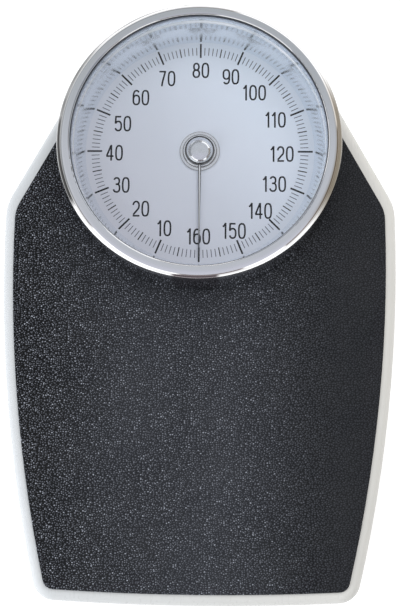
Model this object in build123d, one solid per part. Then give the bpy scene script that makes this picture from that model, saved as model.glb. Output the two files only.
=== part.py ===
from build123d import *
import os
from math import acos, atan2, cos, hypot, pi, radians, sin, sqrt, tan

# A mechanical bathroom scale with a raised round dial.
# Millimetres. X points right, Y towards the dial, Z up. The origin lies under the middle, on the floor.

# Plan of the platform
LENGTH = 458.0
WIDTH = 304.6
HEAD_RADIUS = 114.3
SHOULDER_ANGLE = 28.7
SIDE_RADIUS = 1088.0
WIDEST_Y = 42.5
FRONT_RADIUS = 1900.0
FRONT_CORNER_RADIUS = 17.0
SHOULDER_CORNER_RADIUS = 35.0

# Heights of the casing
FOOT_HEIGHT = 5.0
SKIRT_BOTTOM = 15.0
PLATFORM_TOP = 42.0
SHEET = 1.2
COVER_EDGE_RADIUS = 7.0
MAT_THICKNESS = 2.0
MAT_SIDE_INSET = 8.7
MAT_SHOULDER_INSET = 10.1
MAT_FRONT_INSET = 8.7
MAT_EDGE_RADIUS = 0.6
HEAD_HOLE_RADIUS = 62.0

# Base tray and feet
TRAY_INSET = 5.0
TRAY_RIM_TOP = 24.0
TRAY_BEND_RADIUS = 4.0
FOOT_RADIUS = 11.0
FOOT_STEM_RADIUS = 3.5
FOOT_LIP_RADIUS = 5.0
FOOT_LIP_HEIGHT = 1.8
FRONT_FOOT_SIDE_INSET = 55.3
FRONT_FOOT_END_INSET = 21.5
REAR_FOOT_SIDE_INSET = 36.3
REAR_FOOT_REACH = 31.3
BEAD_LENGTH = 150.0
BEAD_WIDTH = 16.0
BEAD_DEPTH = 1.2
BEAD_SPACING = 44.0
BEAD_END_INSET = 119.0

# Dial drum
DRUM_GAP = 1.6
BEZEL_RADIUS = 107.0
BEZEL_SHEET = 1.2
BEZEL_CREST_RADIUS = 98.7
OVERALL_HEIGHT = 89.0
LIP_RADIUS = 96.4
LIP_DROP = 2.6
LENS_THICKNESS = 2.4
LENS_RADIUS = 99.5
GASKET_THICKNESS = 1.6
GASKET_WIDTH = 4.7
SEAL_BEAD = 0.5
HOUSING_RADIUS = 103.0
HOUSING_BOTTOM = 46.0
HOUSING_DISH_RADIUS = 78.0
HOUSING_DISH_DEPTH = 3.4
HOUSING_MOUTH_RADIUS = 45.0
DIAL_PLATE_THICKNESS = 1.0
DIAL_PLATE_RADIUS = 100.5
SURROUND_FOOT_RADIUS = 88.4
SURROUND_KNEE_RADIUS = 94.0
SURROUND_KNEE_HEIGHT = 16.0
SURROUND_TOP_RADIUS = 95.4
SURROUND_SHEET = 1.0

# Pedestal that carries the drum
PEDESTAL_BORE_RADIUS = 46.5
PEDESTAL_WALL = 3.0
PEDESTAL_FLANGE_RADIUS = 57.0
PEDESTAL_FLANGE = 2.6
PEDESTAL_FOOT_RADIUS = 58.0
PEDESTAL_FOOT = 1.8
LEG_ANGLE = 40.0
LEG_SPAN = 18.0
LUG_REACH = 6.0
LUG_THICKNESS = 2.4
LUG_SPAN = 12.0
SCREW_HEAD_RADIUS = 3.2
SCREW_SHANK_RADIUS = 1.5
SCREW_HEAD_HEIGHT = 1.8

# Levers
LEVER_THICKNESS = 2.5
LEVER_HEIGHT = 10.0
PIN_HEIGHT = 27.0
PIN_RADIUS = 2.0
PIN_LENGTH = 15.0
LOAD_ARM = 30.0
PLATFORM_TRAVEL = 1.1
FRONT_FULCRUM_SIDE_INSET = 57.3
FRONT_FULCRUM_END_INSET = 39.0
REAR_FULCRUM_SIDE_INSET = 32.3
REAR_FULCRUM_REACH = 5.3
NOSE_X = 9.0
NOSE_REACH = 35.3
NOSE_KNIFE_HEIGHT = 26.0
NOSE_KNIFE_DEPTH = 1.2
NOSE_STEP = 6.0
NOSE_FLAT = 10.0
NOSE_TAIL = 4.0
SHORT_NOSE_BOTTOM = 15.0
SHORT_NOSE_HEIGHT = 5.0
SHORT_NOSE_FLAT = 14.0
SHORT_NOSE_STEP = 10.0
SHORT_NOSE_TAIL = 8.0
TIE_SETBACK = 19.7
TIE_WIDTH = 14.0
TIE_THICKNESS = 1.5
TIE_OVERHANG = 3.5
LINK_WALL = 1.5
LINK_DEPTH = 4.0
LINK_OPENING = 6.4
LEVER_END = 7.0

# Brackets and saddles
EAR_GAP = 10.0
EAR_THICKNESS = 1.6
EAR_WIDTH = 12.0
EAR_ABOVE_PIN = 5.0
BRACKET_BASE = 34.0
SADDLE_BASE = 22.0
BRACKET_SHEET = 1.5
BRACKET_FOOT = 10.0
PIN_PROUD = 0.7
RIVET_OFFSET = 13.0
RIVET_RADIUS = 1.6
RIVET_HEAD_RADIUS = 3.0
RIVET_HEAD_HEIGHT = 1.5

# Movement
MODULE = 0.5
PINION_TEETH = 10
MOVEMENT_PLATE_BOTTOM = 36.0
MOVEMENT_PLATE = 1.8
MOVEMENT_PLATE_X = 74.0
MOVEMENT_PLATE_Y = 62.0
RACK_BOTTOM = 39.5
RACK_THICKNESS = 4.0
RACK_BACK = 7.0
RACK_RELIEF = 1.5
RACK_RELIEF_HALF = 2.4
RACK_FRONT_Y = -28.0
RACK_REAR_Y = 12.0
CRANK_SWING = 34.0
CRANK_SHEET = 2.0
CRANK_X = -6.3
CRANK_FINGER_RADIUS = 1.0
CRANK_TIP_RADIUS = 2.0
CRANK_ROOT_RADIUS = 4.0
CRANK_ARM_END_RADIUS = 1.2
CRANK_NECK_RADIUS = 0.8
CRANK_NECK_LENGTH = 4.0
CRANK_PIN_RADIUS = 2.0
CRANK_HUB_LENGTH = 5.6
SHAFT_RADIUS = 1.5
SHAFT_BOTTOM = 34.6
BUSH_RADIUS = 3.0
BUSH_FLANGE_RADIUS = 4.2
BUSH_FLANGE = 0.8
BUSH_PROUD = 0.4
BRIDGE_BOTTOM = 46.0
BRIDGE_SHEET = 1.5
BRIDGE_SPAN = 32.0
BRIDGE_WIDTH = 10.0
BRIDGE_FOOT = 8.0
HAIR_SPRING_BOTTOM = 44.3
HAIR_SPRING_HEIGHT = 1.0
HAIR_SPRING_STRIP = 0.4
HAIR_SPRING_START = 3.4
HAIR_SPRING_STEP = 1.3
HAIR_SPRING_TURNS = 4
HAIR_SPRING_STUD_RADIUS = 0.8
CALIBRATION_WIDTH = 30.0
CALIBRATION_DEPTH = 12.0
CALIBRATION_SHEET = 1.7
CALIBRATION_NOTCH_GAP = 1.5

# Springs
MAIN_WIRE = 1.6
MAIN_COIL_RADIUS = 5.1
MAIN_COILS = 5
RETAINING_WIRE = 1.0
RETAINING_COIL_RADIUS = 4.2
RETAINING_COILS = 6
RETAINING_X = 30.0
RETAINING_END_INSET = 169.0
SPIGOT_RADIUS = 3.3
SPIGOT_HEIGHT = 5.0

# Zero adjustment
ZERO_PIVOT_REACH = 54.0
ZERO_PIVOT_HEIGHT = 33.0
ZERO_SCREW_REACH = 97.8
ZERO_LEVER_SHEET = 3.0
ZERO_HOOK_HEIGHT = 41.6
ZERO_HOOK_RADIUS = 2.5
ZERO_ELBOW_REACH = 7.0
ZERO_PIVOT_RADIUS = 5.0
ZERO_REAR_RADIUS = 2.5
ZERO_SCREW_RADIUS = 2.5
ZERO_SCREW_TOP = 38.0
ZERO_NUT_RADIUS = 5.0
ZERO_NUT_HEIGHT = 5.0
KNOB_RADIUS = 15.0
KNOB_THICKNESS = 6.5
KNOB_RIBS = 40
KNOB_RIB_DEPTH = 0.7

# Pointer and hub
SHAFT_IN_CAP = 2.0
HUB_RING_RADIUS = 15.5
HUB_STEP_RADIUS = 13.0
HUB_RING_THICKNESS = 0.6
HUB_STEP_THICKNESS = 1.2
NEEDLE_THICKNESS = 0.6
NEEDLE_REACH = 85.0
NEEDLE_POINT = 2.0
NEEDLE_ROOT_WIDTH = 2.3
NEEDLE_TIP_WIDTH = 0.8
NEEDLE_EYE_RADIUS = 5.0
DOME_RADIUS = 10.5
DOME_BRIM = 0.9
DOME_BRIM_THICKNESS = 0.9
DOME_HEIGHT = 5.0

# Fits
FACE_GAP = 0.3
SLIDE_GAP = 0.15
RUNNING_FIT = 0.06
HOLE_FIT = 0.1
TOOTH_SLACK = 0.12
FREE_GAP = 1.0

# Worked out from the sizes above
DIAL_Y = LENGTH / 2 - HEAD_RADIUS
FLOOR = FOOT_HEIGHT + SHEET
CEILING = PLATFORM_TOP - SHEET
MAT_TOP = PLATFORM_TOP + MAT_THICKNESS
DRUM_BOTTOM = MAT_TOP + DRUM_GAP
LIP_BOTTOM = OVERALL_HEIGHT - LIP_DROP
LENS_BOTTOM = LIP_BOTTOM - LENS_THICKNESS
GASKET_BOTTOM = LENS_BOTTOM - GASKET_THICKNESS
BEZEL_SHOULDER = BEZEL_RADIUS - BEZEL_CREST_RADIUS
BEZEL_WALL_TOP = OVERALL_HEIGHT - BEZEL_SHOULDER
LEDGE_TOP = HOUSING_BOTTOM + HOUSING_DISH_DEPTH + SHEET
DIAL_FACE = LEDGE_TOP + DIAL_PLATE_THICKNESS
LEVER_BOTTOM = PIN_HEIGHT - LEVER_HEIGHT / 2
LEVER_TOP = PIN_HEIGHT + LEVER_HEIGHT / 2
FRONT_Y = -LENGTH / 2
FRONT_FOOT = (WIDTH / 2 - FRONT_FOOT_SIDE_INSET, FRONT_Y + FRONT_FOOT_END_INSET)
REAR_FOOT = (HEAD_RADIUS - REAR_FOOT_SIDE_INSET, DIAL_Y + REAR_FOOT_REACH)
BEAD_Y = FRONT_Y + BEAD_END_INSET
RETAINING_Y = FRONT_Y + RETAINING_END_INSET
TIE_Y = DIAL_Y - TIE_SETBACK
FRONT_FULCRUM_X = WIDTH / 2 - FRONT_FULCRUM_SIDE_INSET
FRONT_FULCRUM_Y = FRONT_Y + FRONT_FULCRUM_END_INSET
REAR_FULCRUM_X = HEAD_RADIUS - REAR_FULCRUM_SIDE_INSET
REAR_FULCRUM_Y = DIAL_Y + REAR_FULCRUM_REACH
NOSE_Y = DIAL_Y + NOSE_REACH
NOSE_ARM = NOSE_Y - FRONT_FULCRUM_Y
LEVER_TURN = PLATFORM_TRAVEL / LOAD_ARM
LINK_Y = (FRONT_FULCRUM_Y + REAR_FULCRUM_Y) / 2
LINK_ARM = LINK_Y - FRONT_FULCRUM_Y
LONG_SLOPE = (FRONT_FULCRUM_X - NOSE_X) / NOSE_ARM
LINK_X = FRONT_FULCRUM_X - LONG_SLOPE * LINK_ARM
SHORT_SLOPE = (REAR_FULCRUM_X - LINK_X) / (REAR_FULCRUM_Y - LINK_Y)
NOSE_DROP = NOSE_ARM * LEVER_TURN
PITCH_RADIUS = MODULE * PINION_TEETH / 2
RACK_TRAVEL = 2 * pi * PITCH_RADIUS
HALF_SWING = radians(CRANK_SWING / 2)
CRANK_FINGER_ARM = RACK_TRAVEL / 2 / sin(HALF_SWING)
CRANK_TIP_ARM = NOSE_DROP / 2 / sin(HALF_SWING)
CALIBRATION_TOP = NOSE_KNIFE_HEIGHT - SLIDE_GAP
CALIBRATION_BOTTOM = CALIBRATION_TOP - CALIBRATION_SHEET
CRANK_TIP_Z = CALIBRATION_BOTTOM - SLIDE_GAP - CRANK_TIP_RADIUS
CRANK_Z = CRANK_TIP_Z - CRANK_TIP_ARM * sin(HALF_SWING)
CRANK_Y = DIAL_Y + NOSE_REACH - CRANK_TIP_ARM * cos(HALF_SWING)
FINGER_Y = CRANK_Y - CRANK_FINGER_ARM * sin(HALF_SWING)
FINGER_Z = CRANK_Z + CRANK_FINGER_ARM * cos(HALF_SWING)
MOVEMENT_TOP = MOVEMENT_PLATE_BOTTOM + MOVEMENT_PLATE
RACK_TOP = RACK_BOTTOM + RACK_THICKNESS
HAIR_SPRING_REACH = HAIR_SPRING_START + HAIR_SPRING_STEP * HAIR_SPRING_TURNS
SIDES = (-1, 1)


def block(x0, x1, y0, y1, z0, z1):
    return Pos((x0 + x1) / 2, (y0 + y1) / 2, (z0 + z1) / 2) * Box(x1 - x0, y1 - y0, z1 - z0)


def rod(radius, z0, z1, x=0.0, y=0.0):
    return Pos(x, y, (z0 + z1) / 2) * Cylinder(radius, z1 - z0)


def cross_rod(radius, x0, x1, y, z):
    return Pos((x0 + x1) / 2, y, z) * Rot(0, 90, 0) * Cylinder(radius, x1 - x0)


def turned(points, x=0.0, y=0.0, angle=360.0):
    """A solid turned about an upright axis from an outline of radius and height."""
    outline = Plane.XZ * make_face(Polyline(*points, close=True))
    return Pos(x, y, 0) * revolve(outline, Axis.Z, angle)


def tapered(root, root_radius, tip, tip_radius):
    """A flat bar between two round ends, both given in the drawing plane."""
    along = atan2(tip[1] - root[1], tip[0] - root[0])
    spread = acos((root_radius - tip_radius) / hypot(tip[0] - root[0], tip[1] - root[1]))
    corners = [
        (centre[0] + radius * cos(along + turn), centre[1] + radius * sin(along + turn))
        for centre, radius, turn in (
            (root, root_radius, spread),
            (root, root_radius, -spread),
            (tip, tip_radius, -spread),
            (tip, tip_radius, spread),
        )
    ]
    bar = make_face(Polyline(*corners, close=True))
    return bar + Pos(*root) * Circle(root_radius) + Pos(*tip) * Circle(tip_radius)


def group(pieces):
    whole = pieces[0]
    for piece in pieces[1:]:
        whole = whole + piece
    return whole


def save(name, shape):
    export_step(shape, f"parts/{name}.step")


# Plan outline shared by the tray, the cover and the mat


def arc_about(centre, start, end):
    radius = hypot(start[0] - centre[0], start[1] - centre[1])
    middle = ((start[0] + end[0]) / 2 - centre[0], (start[1] + end[1]) / 2 - centre[1])
    reach = radius / hypot(*middle)
    crown = (centre[0] + middle[0] * reach, centre[1] + middle[1] * reach)
    return ThreePointArc(start, crown, end)


def line_meets_circle(point, direction, centre, radius):
    """The crossing that lies furthest along the direction."""
    gap = (point[0] - centre[0], point[1] - centre[1])
    half = gap[0] * direction[0] + gap[1] * direction[1]
    reach = -half + sqrt(half**2 - gap[0] ** 2 - gap[1] ** 2 + radius**2)
    return (point[0] + reach * direction[0], point[1] + reach * direction[1])


def plan(inset, side_inset=None, front_inset=None):
    """The waisted outline with its round head, drawn in by an inset."""
    side_inset = inset if side_inset is None else side_inset
    front_inset = inset if front_inset is None else front_inset
    slant = radians(SHOULDER_ANGLE)
    head = HEAD_RADIUS - inset
    neck = (head * cos(slant), DIAL_Y + head * sin(slant))
    side_centre = (WIDTH / 2 - SIDE_RADIUS, WIDEST_Y)
    side = SIDE_RADIUS - side_inset
    front_y = FRONT_Y + front_inset
    front_centre = (0, front_y + FRONT_RADIUS)
    forward = (sin(slant), -cos(slant))
    shoulder = line_meets_circle(neck, forward, side_centre, side)
    # The side and front circles cross where both distances hold, found by a few rounds.
    corner_y = front_y
    for _ in range(30):
        corner_x = side_centre[0] + sqrt(side**2 - (corner_y - WIDEST_Y) ** 2)
        corner_y = front_centre[1] - sqrt(FRONT_RADIUS**2 - corner_x**2)

    def flip(point):
        return (-point[0], point[1])

    corner = (corner_x, corner_y)
    edges = [
        arc_about((0, DIAL_Y), neck, flip(neck)),
        Line(flip(neck), flip(shoulder)),
        arc_about(flip(side_centre), flip(shoulder), flip(corner)),
        arc_about(front_centre, flip(corner), corner),
        arc_about(side_centre, corner, shoulder),
        Line(shoulder, neck),
    ]
    face = make_face(edges)

    def corners_at(target):
        return [
            v
            for v in face.vertices()
            if abs(abs(v.X) - target[0]) < 0.01 and abs(v.Y - target[1]) < 0.01
        ]

    face = fillet(corners_at(shoulder), SHOULDER_CORNER_RADIUS - side_inset)
    return fillet(corners_at(corner), FRONT_CORNER_RADIUS - front_inset)


def slab(inset, z0, z1, **insets):
    return extrude(Pos(0, 0, z0) * plan(inset, **insets), amount=z1 - z0)


# Casing


def base_tray():
    outer = slab(TRAY_INSET, FOOT_HEIGHT, TRAY_RIM_TOP)
    outer = fillet(outer.faces().sort_by(Axis.Z)[0].edges(), TRAY_BEND_RADIUS)
    inner = slab(TRAY_INSET + SHEET, FLOOR, TRAY_RIM_TOP + 1)
    inner = fillet(inner.faces().sort_by(Axis.Z)[0].edges(), TRAY_BEND_RADIUS - SHEET)
    tray = outer - inner
    for x in SIDES:
        bead = SlotOverall(BEAD_LENGTH, BEAD_WIDTH, rotation=90)
        dish = SlotOverall(BEAD_LENGTH - 2 * SHEET, BEAD_WIDTH - 2 * SHEET, rotation=90)
        place = Pos(x * BEAD_SPACING / 2, BEAD_Y, FOOT_HEIGHT - BEAD_DEPTH)
        tray += extrude(place * bead, amount=BEAD_DEPTH)
        tray -= extrude(place * Pos(0, 0, SHEET) * dish, amount=BEAD_DEPTH + SHEET)
    for x in SIDES:
        for foot_x, foot_y in (FRONT_FOOT, REAR_FOOT):
            tray -= rod(FOOT_STEM_RADIUS + HOLE_FIT, 0, FLOOR + 1, x * foot_x, foot_y)
        for rivet_x, rivet_y in rivet_places():
            tray -= rod(RIVET_RADIUS + HOLE_FIT, 0, FLOOR + 1, x * rivet_x, rivet_y)
        for screw_x, screw_y in leg_places(PEDESTAL_FOOT_RADIUS - PEDESTAL_WALL):
            tray -= screw_hole(x * screw_x, screw_y, FOOT_HEIGHT, FLOOR)
        spigot = turned(
            [
                (0, FLOOR),
                (SPIGOT_RADIUS, FLOOR),
                (SPIGOT_RADIUS, FLOOR + SPIGOT_HEIGHT - 1),
                (SPIGOT_RADIUS - 1, FLOOR + SPIGOT_HEIGHT),
                (0, FLOOR + SPIGOT_HEIGHT),
            ]
        )
        tray += Pos(x * RETAINING_X, RETAINING_Y, 0) * spigot
    knob_y = DIAL_Y + ZERO_SCREW_REACH
    tray -= rod(ZERO_SCREW_RADIUS + RUNNING_FIT, 0, FLOOR + 1, 0, knob_y)
    knob_top = FLOOR + FACE_GAP + KNOB_THICKNESS
    tray -= rod(KNOB_RADIUS + 1, FLOOR, knob_top + 1, 0, knob_y)
    return tray


def rubber_feet():
    stem_top = FLOOR
    profile = [
        (0, 0),
        (FOOT_RADIUS - 1, 0),
        (FOOT_RADIUS, 1),
        (FOOT_RADIUS, FOOT_HEIGHT),
        (FOOT_STEM_RADIUS, FOOT_HEIGHT),
        (FOOT_STEM_RADIUS, stem_top),
        (FOOT_LIP_RADIUS, stem_top),
        (FOOT_STEM_RADIUS, stem_top + FOOT_LIP_HEIGHT),
        (0, stem_top + FOOT_LIP_HEIGHT),
    ]
    return group([turned(profile, x * fx, fy) for fx, fy in (FRONT_FOOT, REAR_FOOT) for x in SIDES])


def platform_cover():
    outer = slab(0, SKIRT_BOTTOM, PLATFORM_TOP)
    outer = fillet(outer.faces().sort_by(Axis.Z)[-1].edges(), COVER_EDGE_RADIUS)
    inner = slab(SHEET, SKIRT_BOTTOM - 1, CEILING)
    inner = fillet(inner.faces().sort_by(Axis.Z)[-1].edges(), COVER_EDGE_RADIUS - SHEET)
    cover = outer - inner
    return cover - rod(HEAD_HOLE_RADIUS, CEILING - 1, PLATFORM_TOP + 1, 0, DIAL_Y)


def tread_mat():
    mat = slab(
        MAT_SHOULDER_INSET,
        PLATFORM_TOP,
        MAT_TOP,
        side_inset=MAT_SIDE_INSET,
        front_inset=MAT_FRONT_INSET,
    )
    mat = fillet(mat.faces().sort_by(Axis.Z)[-1].edges(), MAT_EDGE_RADIUS)
    return mat - rod(HEAD_HOLE_RADIUS, PLATFORM_TOP - 1, MAT_TOP + 1, 0, DIAL_Y)


# Dial drum


def bezel_ring():
    """Pressed ring: upright wall, quarter-round shoulder and a lip rolled down over the lens."""
    bore = BEZEL_RADIUS - BEZEL_SHEET
    inner_round = BEZEL_SHOULDER - BEZEL_SHEET
    lip_wall = LIP_RADIUS + BEZEL_SHEET
    lip_top = OVERALL_HEIGHT - BEZEL_SHEET
    crest = (BEZEL_CREST_RADIUS, OVERALL_HEIGHT)
    under_crest = (BEZEL_CREST_RADIUS, lip_top)
    diagonal = cos(pi / 4)

    def shoulder(radius):
        return (BEZEL_CREST_RADIUS + radius * diagonal, BEZEL_WALL_TOP + radius * diagonal)

    # The lip's roll leaves the crest level and ends at the lip's edge.
    run = BEZEL_CREST_RADIUS - LIP_RADIUS
    roll_radius = (run**2 + BEZEL_SHEET**2) / (2 * BEZEL_SHEET)
    half = atan2(run, roll_radius - BEZEL_SHEET) / 2
    roll = (crest[0] - roll_radius * sin(half), crest[1] - roll_radius * (1 - cos(half)))
    edges = [
        Line((bore, DRUM_BOTTOM), (BEZEL_RADIUS, DRUM_BOTTOM)),
        Line((BEZEL_RADIUS, DRUM_BOTTOM), (BEZEL_RADIUS, BEZEL_WALL_TOP)),
        ThreePointArc((BEZEL_RADIUS, BEZEL_WALL_TOP), shoulder(BEZEL_SHOULDER), crest),
        ThreePointArc(crest, roll, (LIP_RADIUS, lip_top)),
        Line((LIP_RADIUS, lip_top), (LIP_RADIUS, LIP_BOTTOM)),
        Line((LIP_RADIUS, LIP_BOTTOM), (lip_wall, LIP_BOTTOM)),
        Line((lip_wall, LIP_BOTTOM), under_crest),
        ThreePointArc(under_crest, shoulder(inner_round), (bore, BEZEL_WALL_TOP)),
        Line((bore, BEZEL_WALL_TOP), (bore, DRUM_BOTTOM)),
    ]
    return Pos(0, DIAL_Y, 0) * revolve(Plane.XZ * make_face(edges), Axis.Z)


def dial_housing():
    """Drawn pan: dished floor, ledge for the dial plate, wall and a top flange for the gasket."""
    inner = HOUSING_RADIUS - SHEET
    flange_radius = SURROUND_TOP_RADIUS + SURROUND_SHEET + 2 * FACE_GAP
    pan = turned(
        [
            (HOUSING_MOUTH_RADIUS, HOUSING_BOTTOM),
            (HOUSING_DISH_RADIUS, HOUSING_BOTTOM),
            (HOUSING_DISH_RADIUS + HOUSING_DISH_DEPTH, LEDGE_TOP - SHEET),
            (HOUSING_RADIUS, LEDGE_TOP - SHEET),
            (HOUSING_RADIUS, GASKET_BOTTOM),
            (flange_radius, GASKET_BOTTOM),
            (flange_radius, GASKET_BOTTOM - SHEET),
            (inner, GASKET_BOTTOM - SHEET),
            (inner, LEDGE_TOP),
            (HOUSING_DISH_RADIUS + HOUSING_DISH_DEPTH - SHEET / 2, LEDGE_TOP),
            (HOUSING_DISH_RADIUS - SHEET / 2, HOUSING_BOTTOM + SHEET),
            (HOUSING_MOUTH_RADIUS, HOUSING_BOTTOM + SHEET),
        ],
        y=DIAL_Y,
    )
    for x in SIDES:
        for screw_x, screw_y in leg_places(housing_screw_radius()):
            pan -= screw_hole(x * screw_x, screw_y, HOUSING_BOTTOM, HOUSING_BOTTOM + SHEET)
    return pan


def dial_surround():
    """Bright inner wall: a flat foot on the dial plate, a flared half and a nearly upright half."""
    knee = DIAL_FACE + SURROUND_KNEE_HEIGHT
    return turned(
        [
            (SURROUND_FOOT_RADIUS, DIAL_FACE),
            (DIAL_PLATE_RADIUS, DIAL_FACE),
            (DIAL_PLATE_RADIUS, DIAL_FACE + SURROUND_SHEET),
            (SURROUND_FOOT_RADIUS + SURROUND_SHEET, DIAL_FACE + SURROUND_SHEET),
            (SURROUND_KNEE_RADIUS + SURROUND_SHEET, knee),
            (SURROUND_TOP_RADIUS + SURROUND_SHEET, GASKET_BOTTOM),
            (SURROUND_TOP_RADIUS, GASKET_BOTTOM),
            (SURROUND_KNEE_RADIUS, knee),
        ],
        y=DIAL_Y,
    )


def lens_gasket():
    inner = LENS_RADIUS + 1 - GASKET_WIDTH
    return turned(
        [
            (inner, GASKET_BOTTOM),
            (inner + GASKET_WIDTH, GASKET_BOTTOM),
            (inner + GASKET_WIDTH, LENS_BOTTOM),
            (inner, LENS_BOTTOM),
        ],
        y=DIAL_Y,
    )


def lens_seal():
    """A black fillet bead laid on the lens in the corner under the bezel's lip."""
    return turned(
        [
            (LIP_RADIUS - SEAL_BEAD, LIP_BOTTOM),
            (LIP_RADIUS, LIP_BOTTOM),
            (LIP_RADIUS, LIP_BOTTOM + SEAL_BEAD),
        ],
        y=DIAL_Y,
    )


def dial_lens():
    return rod(LENS_RADIUS, LENS_BOTTOM, LIP_BOTTOM, 0, DIAL_Y)


def dial_plate():
    plate = rod(DIAL_PLATE_RADIUS, LEDGE_TOP, DIAL_FACE, 0, DIAL_Y)
    return plate - rod(BUSH_FLANGE_RADIUS, LEDGE_TOP - 1, DIAL_FACE + 1, 0, DIAL_Y)


# Pedestal and its screws


def screw(x, y, seat, grip):
    """A round-headed screw standing on its seat."""
    top = seat + SCREW_HEAD_HEIGHT
    return turned(
        [
            (0, seat - grip),
            (SCREW_SHANK_RADIUS, seat - grip),
            (SCREW_SHANK_RADIUS, seat),
            (SCREW_HEAD_RADIUS, seat),
            (SCREW_HEAD_RADIUS, top - SCREW_HEAD_HEIGHT / 2),
            (SCREW_HEAD_RADIUS - SCREW_HEAD_HEIGHT / 2, top),
            (0, top),
        ],
        x,
        y,
    )


def screw_hole(x, y, z0, z1):
    return rod(SCREW_SHANK_RADIUS + HOLE_FIT, z0 - 1, z1 + 1, x, y)


def leg_places(radius):
    """Points on the two right-hand legs at a radius from the dial's centre."""
    lean = radians(LEG_ANGLE)
    return [(radius * cos(lean), DIAL_Y + turn * radius * sin(lean)) for turn in SIDES]


def housing_screw_radius():
    return (PEDESTAL_BORE_RADIUS + PEDESTAL_WALL + PEDESTAL_FLANGE_RADIUS) / 2 - 0.5


def movement_screw_radius():
    return PEDESTAL_BORE_RADIUS - LUG_REACH / 2 - 0.5


def dial_pedestal():
    wall = PEDESTAL_BORE_RADIUS + PEDESTAL_WALL
    flange_bottom = HOUSING_BOTTOM - PEDESTAL_FLANGE
    pedestal = turned(
        [
            (PEDESTAL_BORE_RADIUS, flange_bottom),
            (PEDESTAL_FLANGE_RADIUS, flange_bottom),
            (PEDESTAL_FLANGE_RADIUS, HOUSING_BOTTOM),
            (PEDESTAL_BORE_RADIUS, HOUSING_BOTTOM),
        ]
    )
    leg = [
        (PEDESTAL_BORE_RADIUS, FLOOR),
        (PEDESTAL_FOOT_RADIUS, FLOOR),
        (PEDESTAL_FOOT_RADIUS, FLOOR + PEDESTAL_FOOT),
        (wall, FLOOR + PEDESTAL_FOOT),
        (wall, flange_bottom),
        (PEDESTAL_BORE_RADIUS, flange_bottom),
    ]
    lug_inner = PEDESTAL_BORE_RADIUS - LUG_REACH
    lug = [
        (lug_inner, MOVEMENT_PLATE_BOTTOM - LUG_THICKNESS),
        (PEDESTAL_BORE_RADIUS + PEDESTAL_WALL / 2, MOVEMENT_PLATE_BOTTOM - LUG_THICKNESS),
        (PEDESTAL_BORE_RADIUS + PEDESTAL_WALL / 2, MOVEMENT_PLATE_BOTTOM),
        (lug_inner, MOVEMENT_PLATE_BOTTOM),
    ]
    for side in (0, 180):
        for lean in (-LEG_ANGLE, LEG_ANGLE):
            pedestal += Rot(0, 0, side + lean - LEG_SPAN / 2) * turned(leg, angle=LEG_SPAN)
            pedestal += Rot(0, 0, side + lean - LUG_SPAN / 2) * turned(lug, angle=LUG_SPAN)
    pedestal = Pos(0, DIAL_Y, 0) * pedestal
    for x in SIDES:
        for px, py in leg_places(PEDESTAL_FOOT_RADIUS - PEDESTAL_WALL):
            pedestal -= screw_hole(x * px, py, FLOOR, FLOOR + PEDESTAL_FOOT)
        for px, py in leg_places(housing_screw_radius()):
            pedestal -= screw_hole(x * px, py, flange_bottom, HOUSING_BOTTOM)
        for px, py in leg_places(movement_screw_radius()):
            low = MOVEMENT_PLATE_BOTTOM - LUG_THICKNESS
            pedestal -= screw_hole(x * px, py, low, MOVEMENT_PLATE_BOTTOM)
    return pedestal


def screws_at(radius, seat, grip):
    return group([screw(x * px, py, seat, grip) for px, py in leg_places(radius) for x in SIDES])


def pedestal_screws():
    seat = FLOOR + PEDESTAL_FOOT
    return screws_at(PEDESTAL_FOOT_RADIUS - PEDESTAL_WALL, seat, seat - FOOT_HEIGHT)


def housing_screws():
    return screws_at(housing_screw_radius(), HOUSING_BOTTOM + SHEET, SHEET + PEDESTAL_FLANGE)


def movement_screws():
    return screws_at(movement_screw_radius(), MOVEMENT_TOP, MOVEMENT_PLATE + LUG_THICKNESS)


# Brackets, saddles and their fasteners


def rivet_places():
    """Rivets on the right-hand side that hold the fulcrum brackets to the tray."""
    return [
        (x + turn * RIVET_OFFSET, y)
        for x, y in ((FRONT_FULCRUM_X, FRONT_FULCRUM_Y), (REAR_FULCRUM_X, REAR_FULCRUM_Y))
        for turn in SIDES
    ]


def ear_pair(x, y, base_z, far_z, notch_z, gap):
    """Two upright ears with a notch that cradles a cross pin and opens at the far end."""
    low, high = sorted((base_z, far_z))
    half = EAR_WIDTH / 2
    ears = []
    for side in SIDES:
        near, far = sorted((x + side * gap / 2, x + side * (gap / 2 + EAR_THICKNESS)))
        ears.append(block(near, far, y - half, y + half, low, high))
    notch = PIN_RADIUS + HOLE_FIT
    reach = gap / 2 + EAR_THICKNESS + 1
    cut = cross_rod(notch, x - reach, x + reach, y, notch_z)
    mouth_low, mouth_high = sorted((notch_z, far_z + (1 if far_z > base_z else -1)))
    cut += block(x - reach, x + reach, y - notch, y + notch, mouth_low, mouth_high)
    return [ear - cut for ear in ears]


def fulcrum_brackets():
    brackets = []
    for x, y in ((FRONT_FULCRUM_X, FRONT_FULCRUM_Y), (REAR_FULCRUM_X, REAR_FULCRUM_Y)):
        for side in SIDES:
            px = side * x
            base = block(
                px - BRACKET_BASE / 2,
                px + BRACKET_BASE / 2,
                y - EAR_WIDTH / 2,
                y + EAR_WIDTH / 2,
                FLOOR,
                FLOOR + BRACKET_SHEET,
            )
            for turn in SIDES:
                hole_x = px + turn * RIVET_OFFSET
                base -= rod(RIVET_RADIUS + HOLE_FIT, FLOOR - 1, FLOOR + BRACKET_SHEET + 1, hole_x, y)
            ears = ear_pair(px, y, FLOOR, PIN_HEIGHT + EAR_ABOVE_PIN, PIN_HEIGHT, EAR_GAP)
            brackets.append(base + ears[0] + ears[1])
    return group(brackets)


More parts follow.
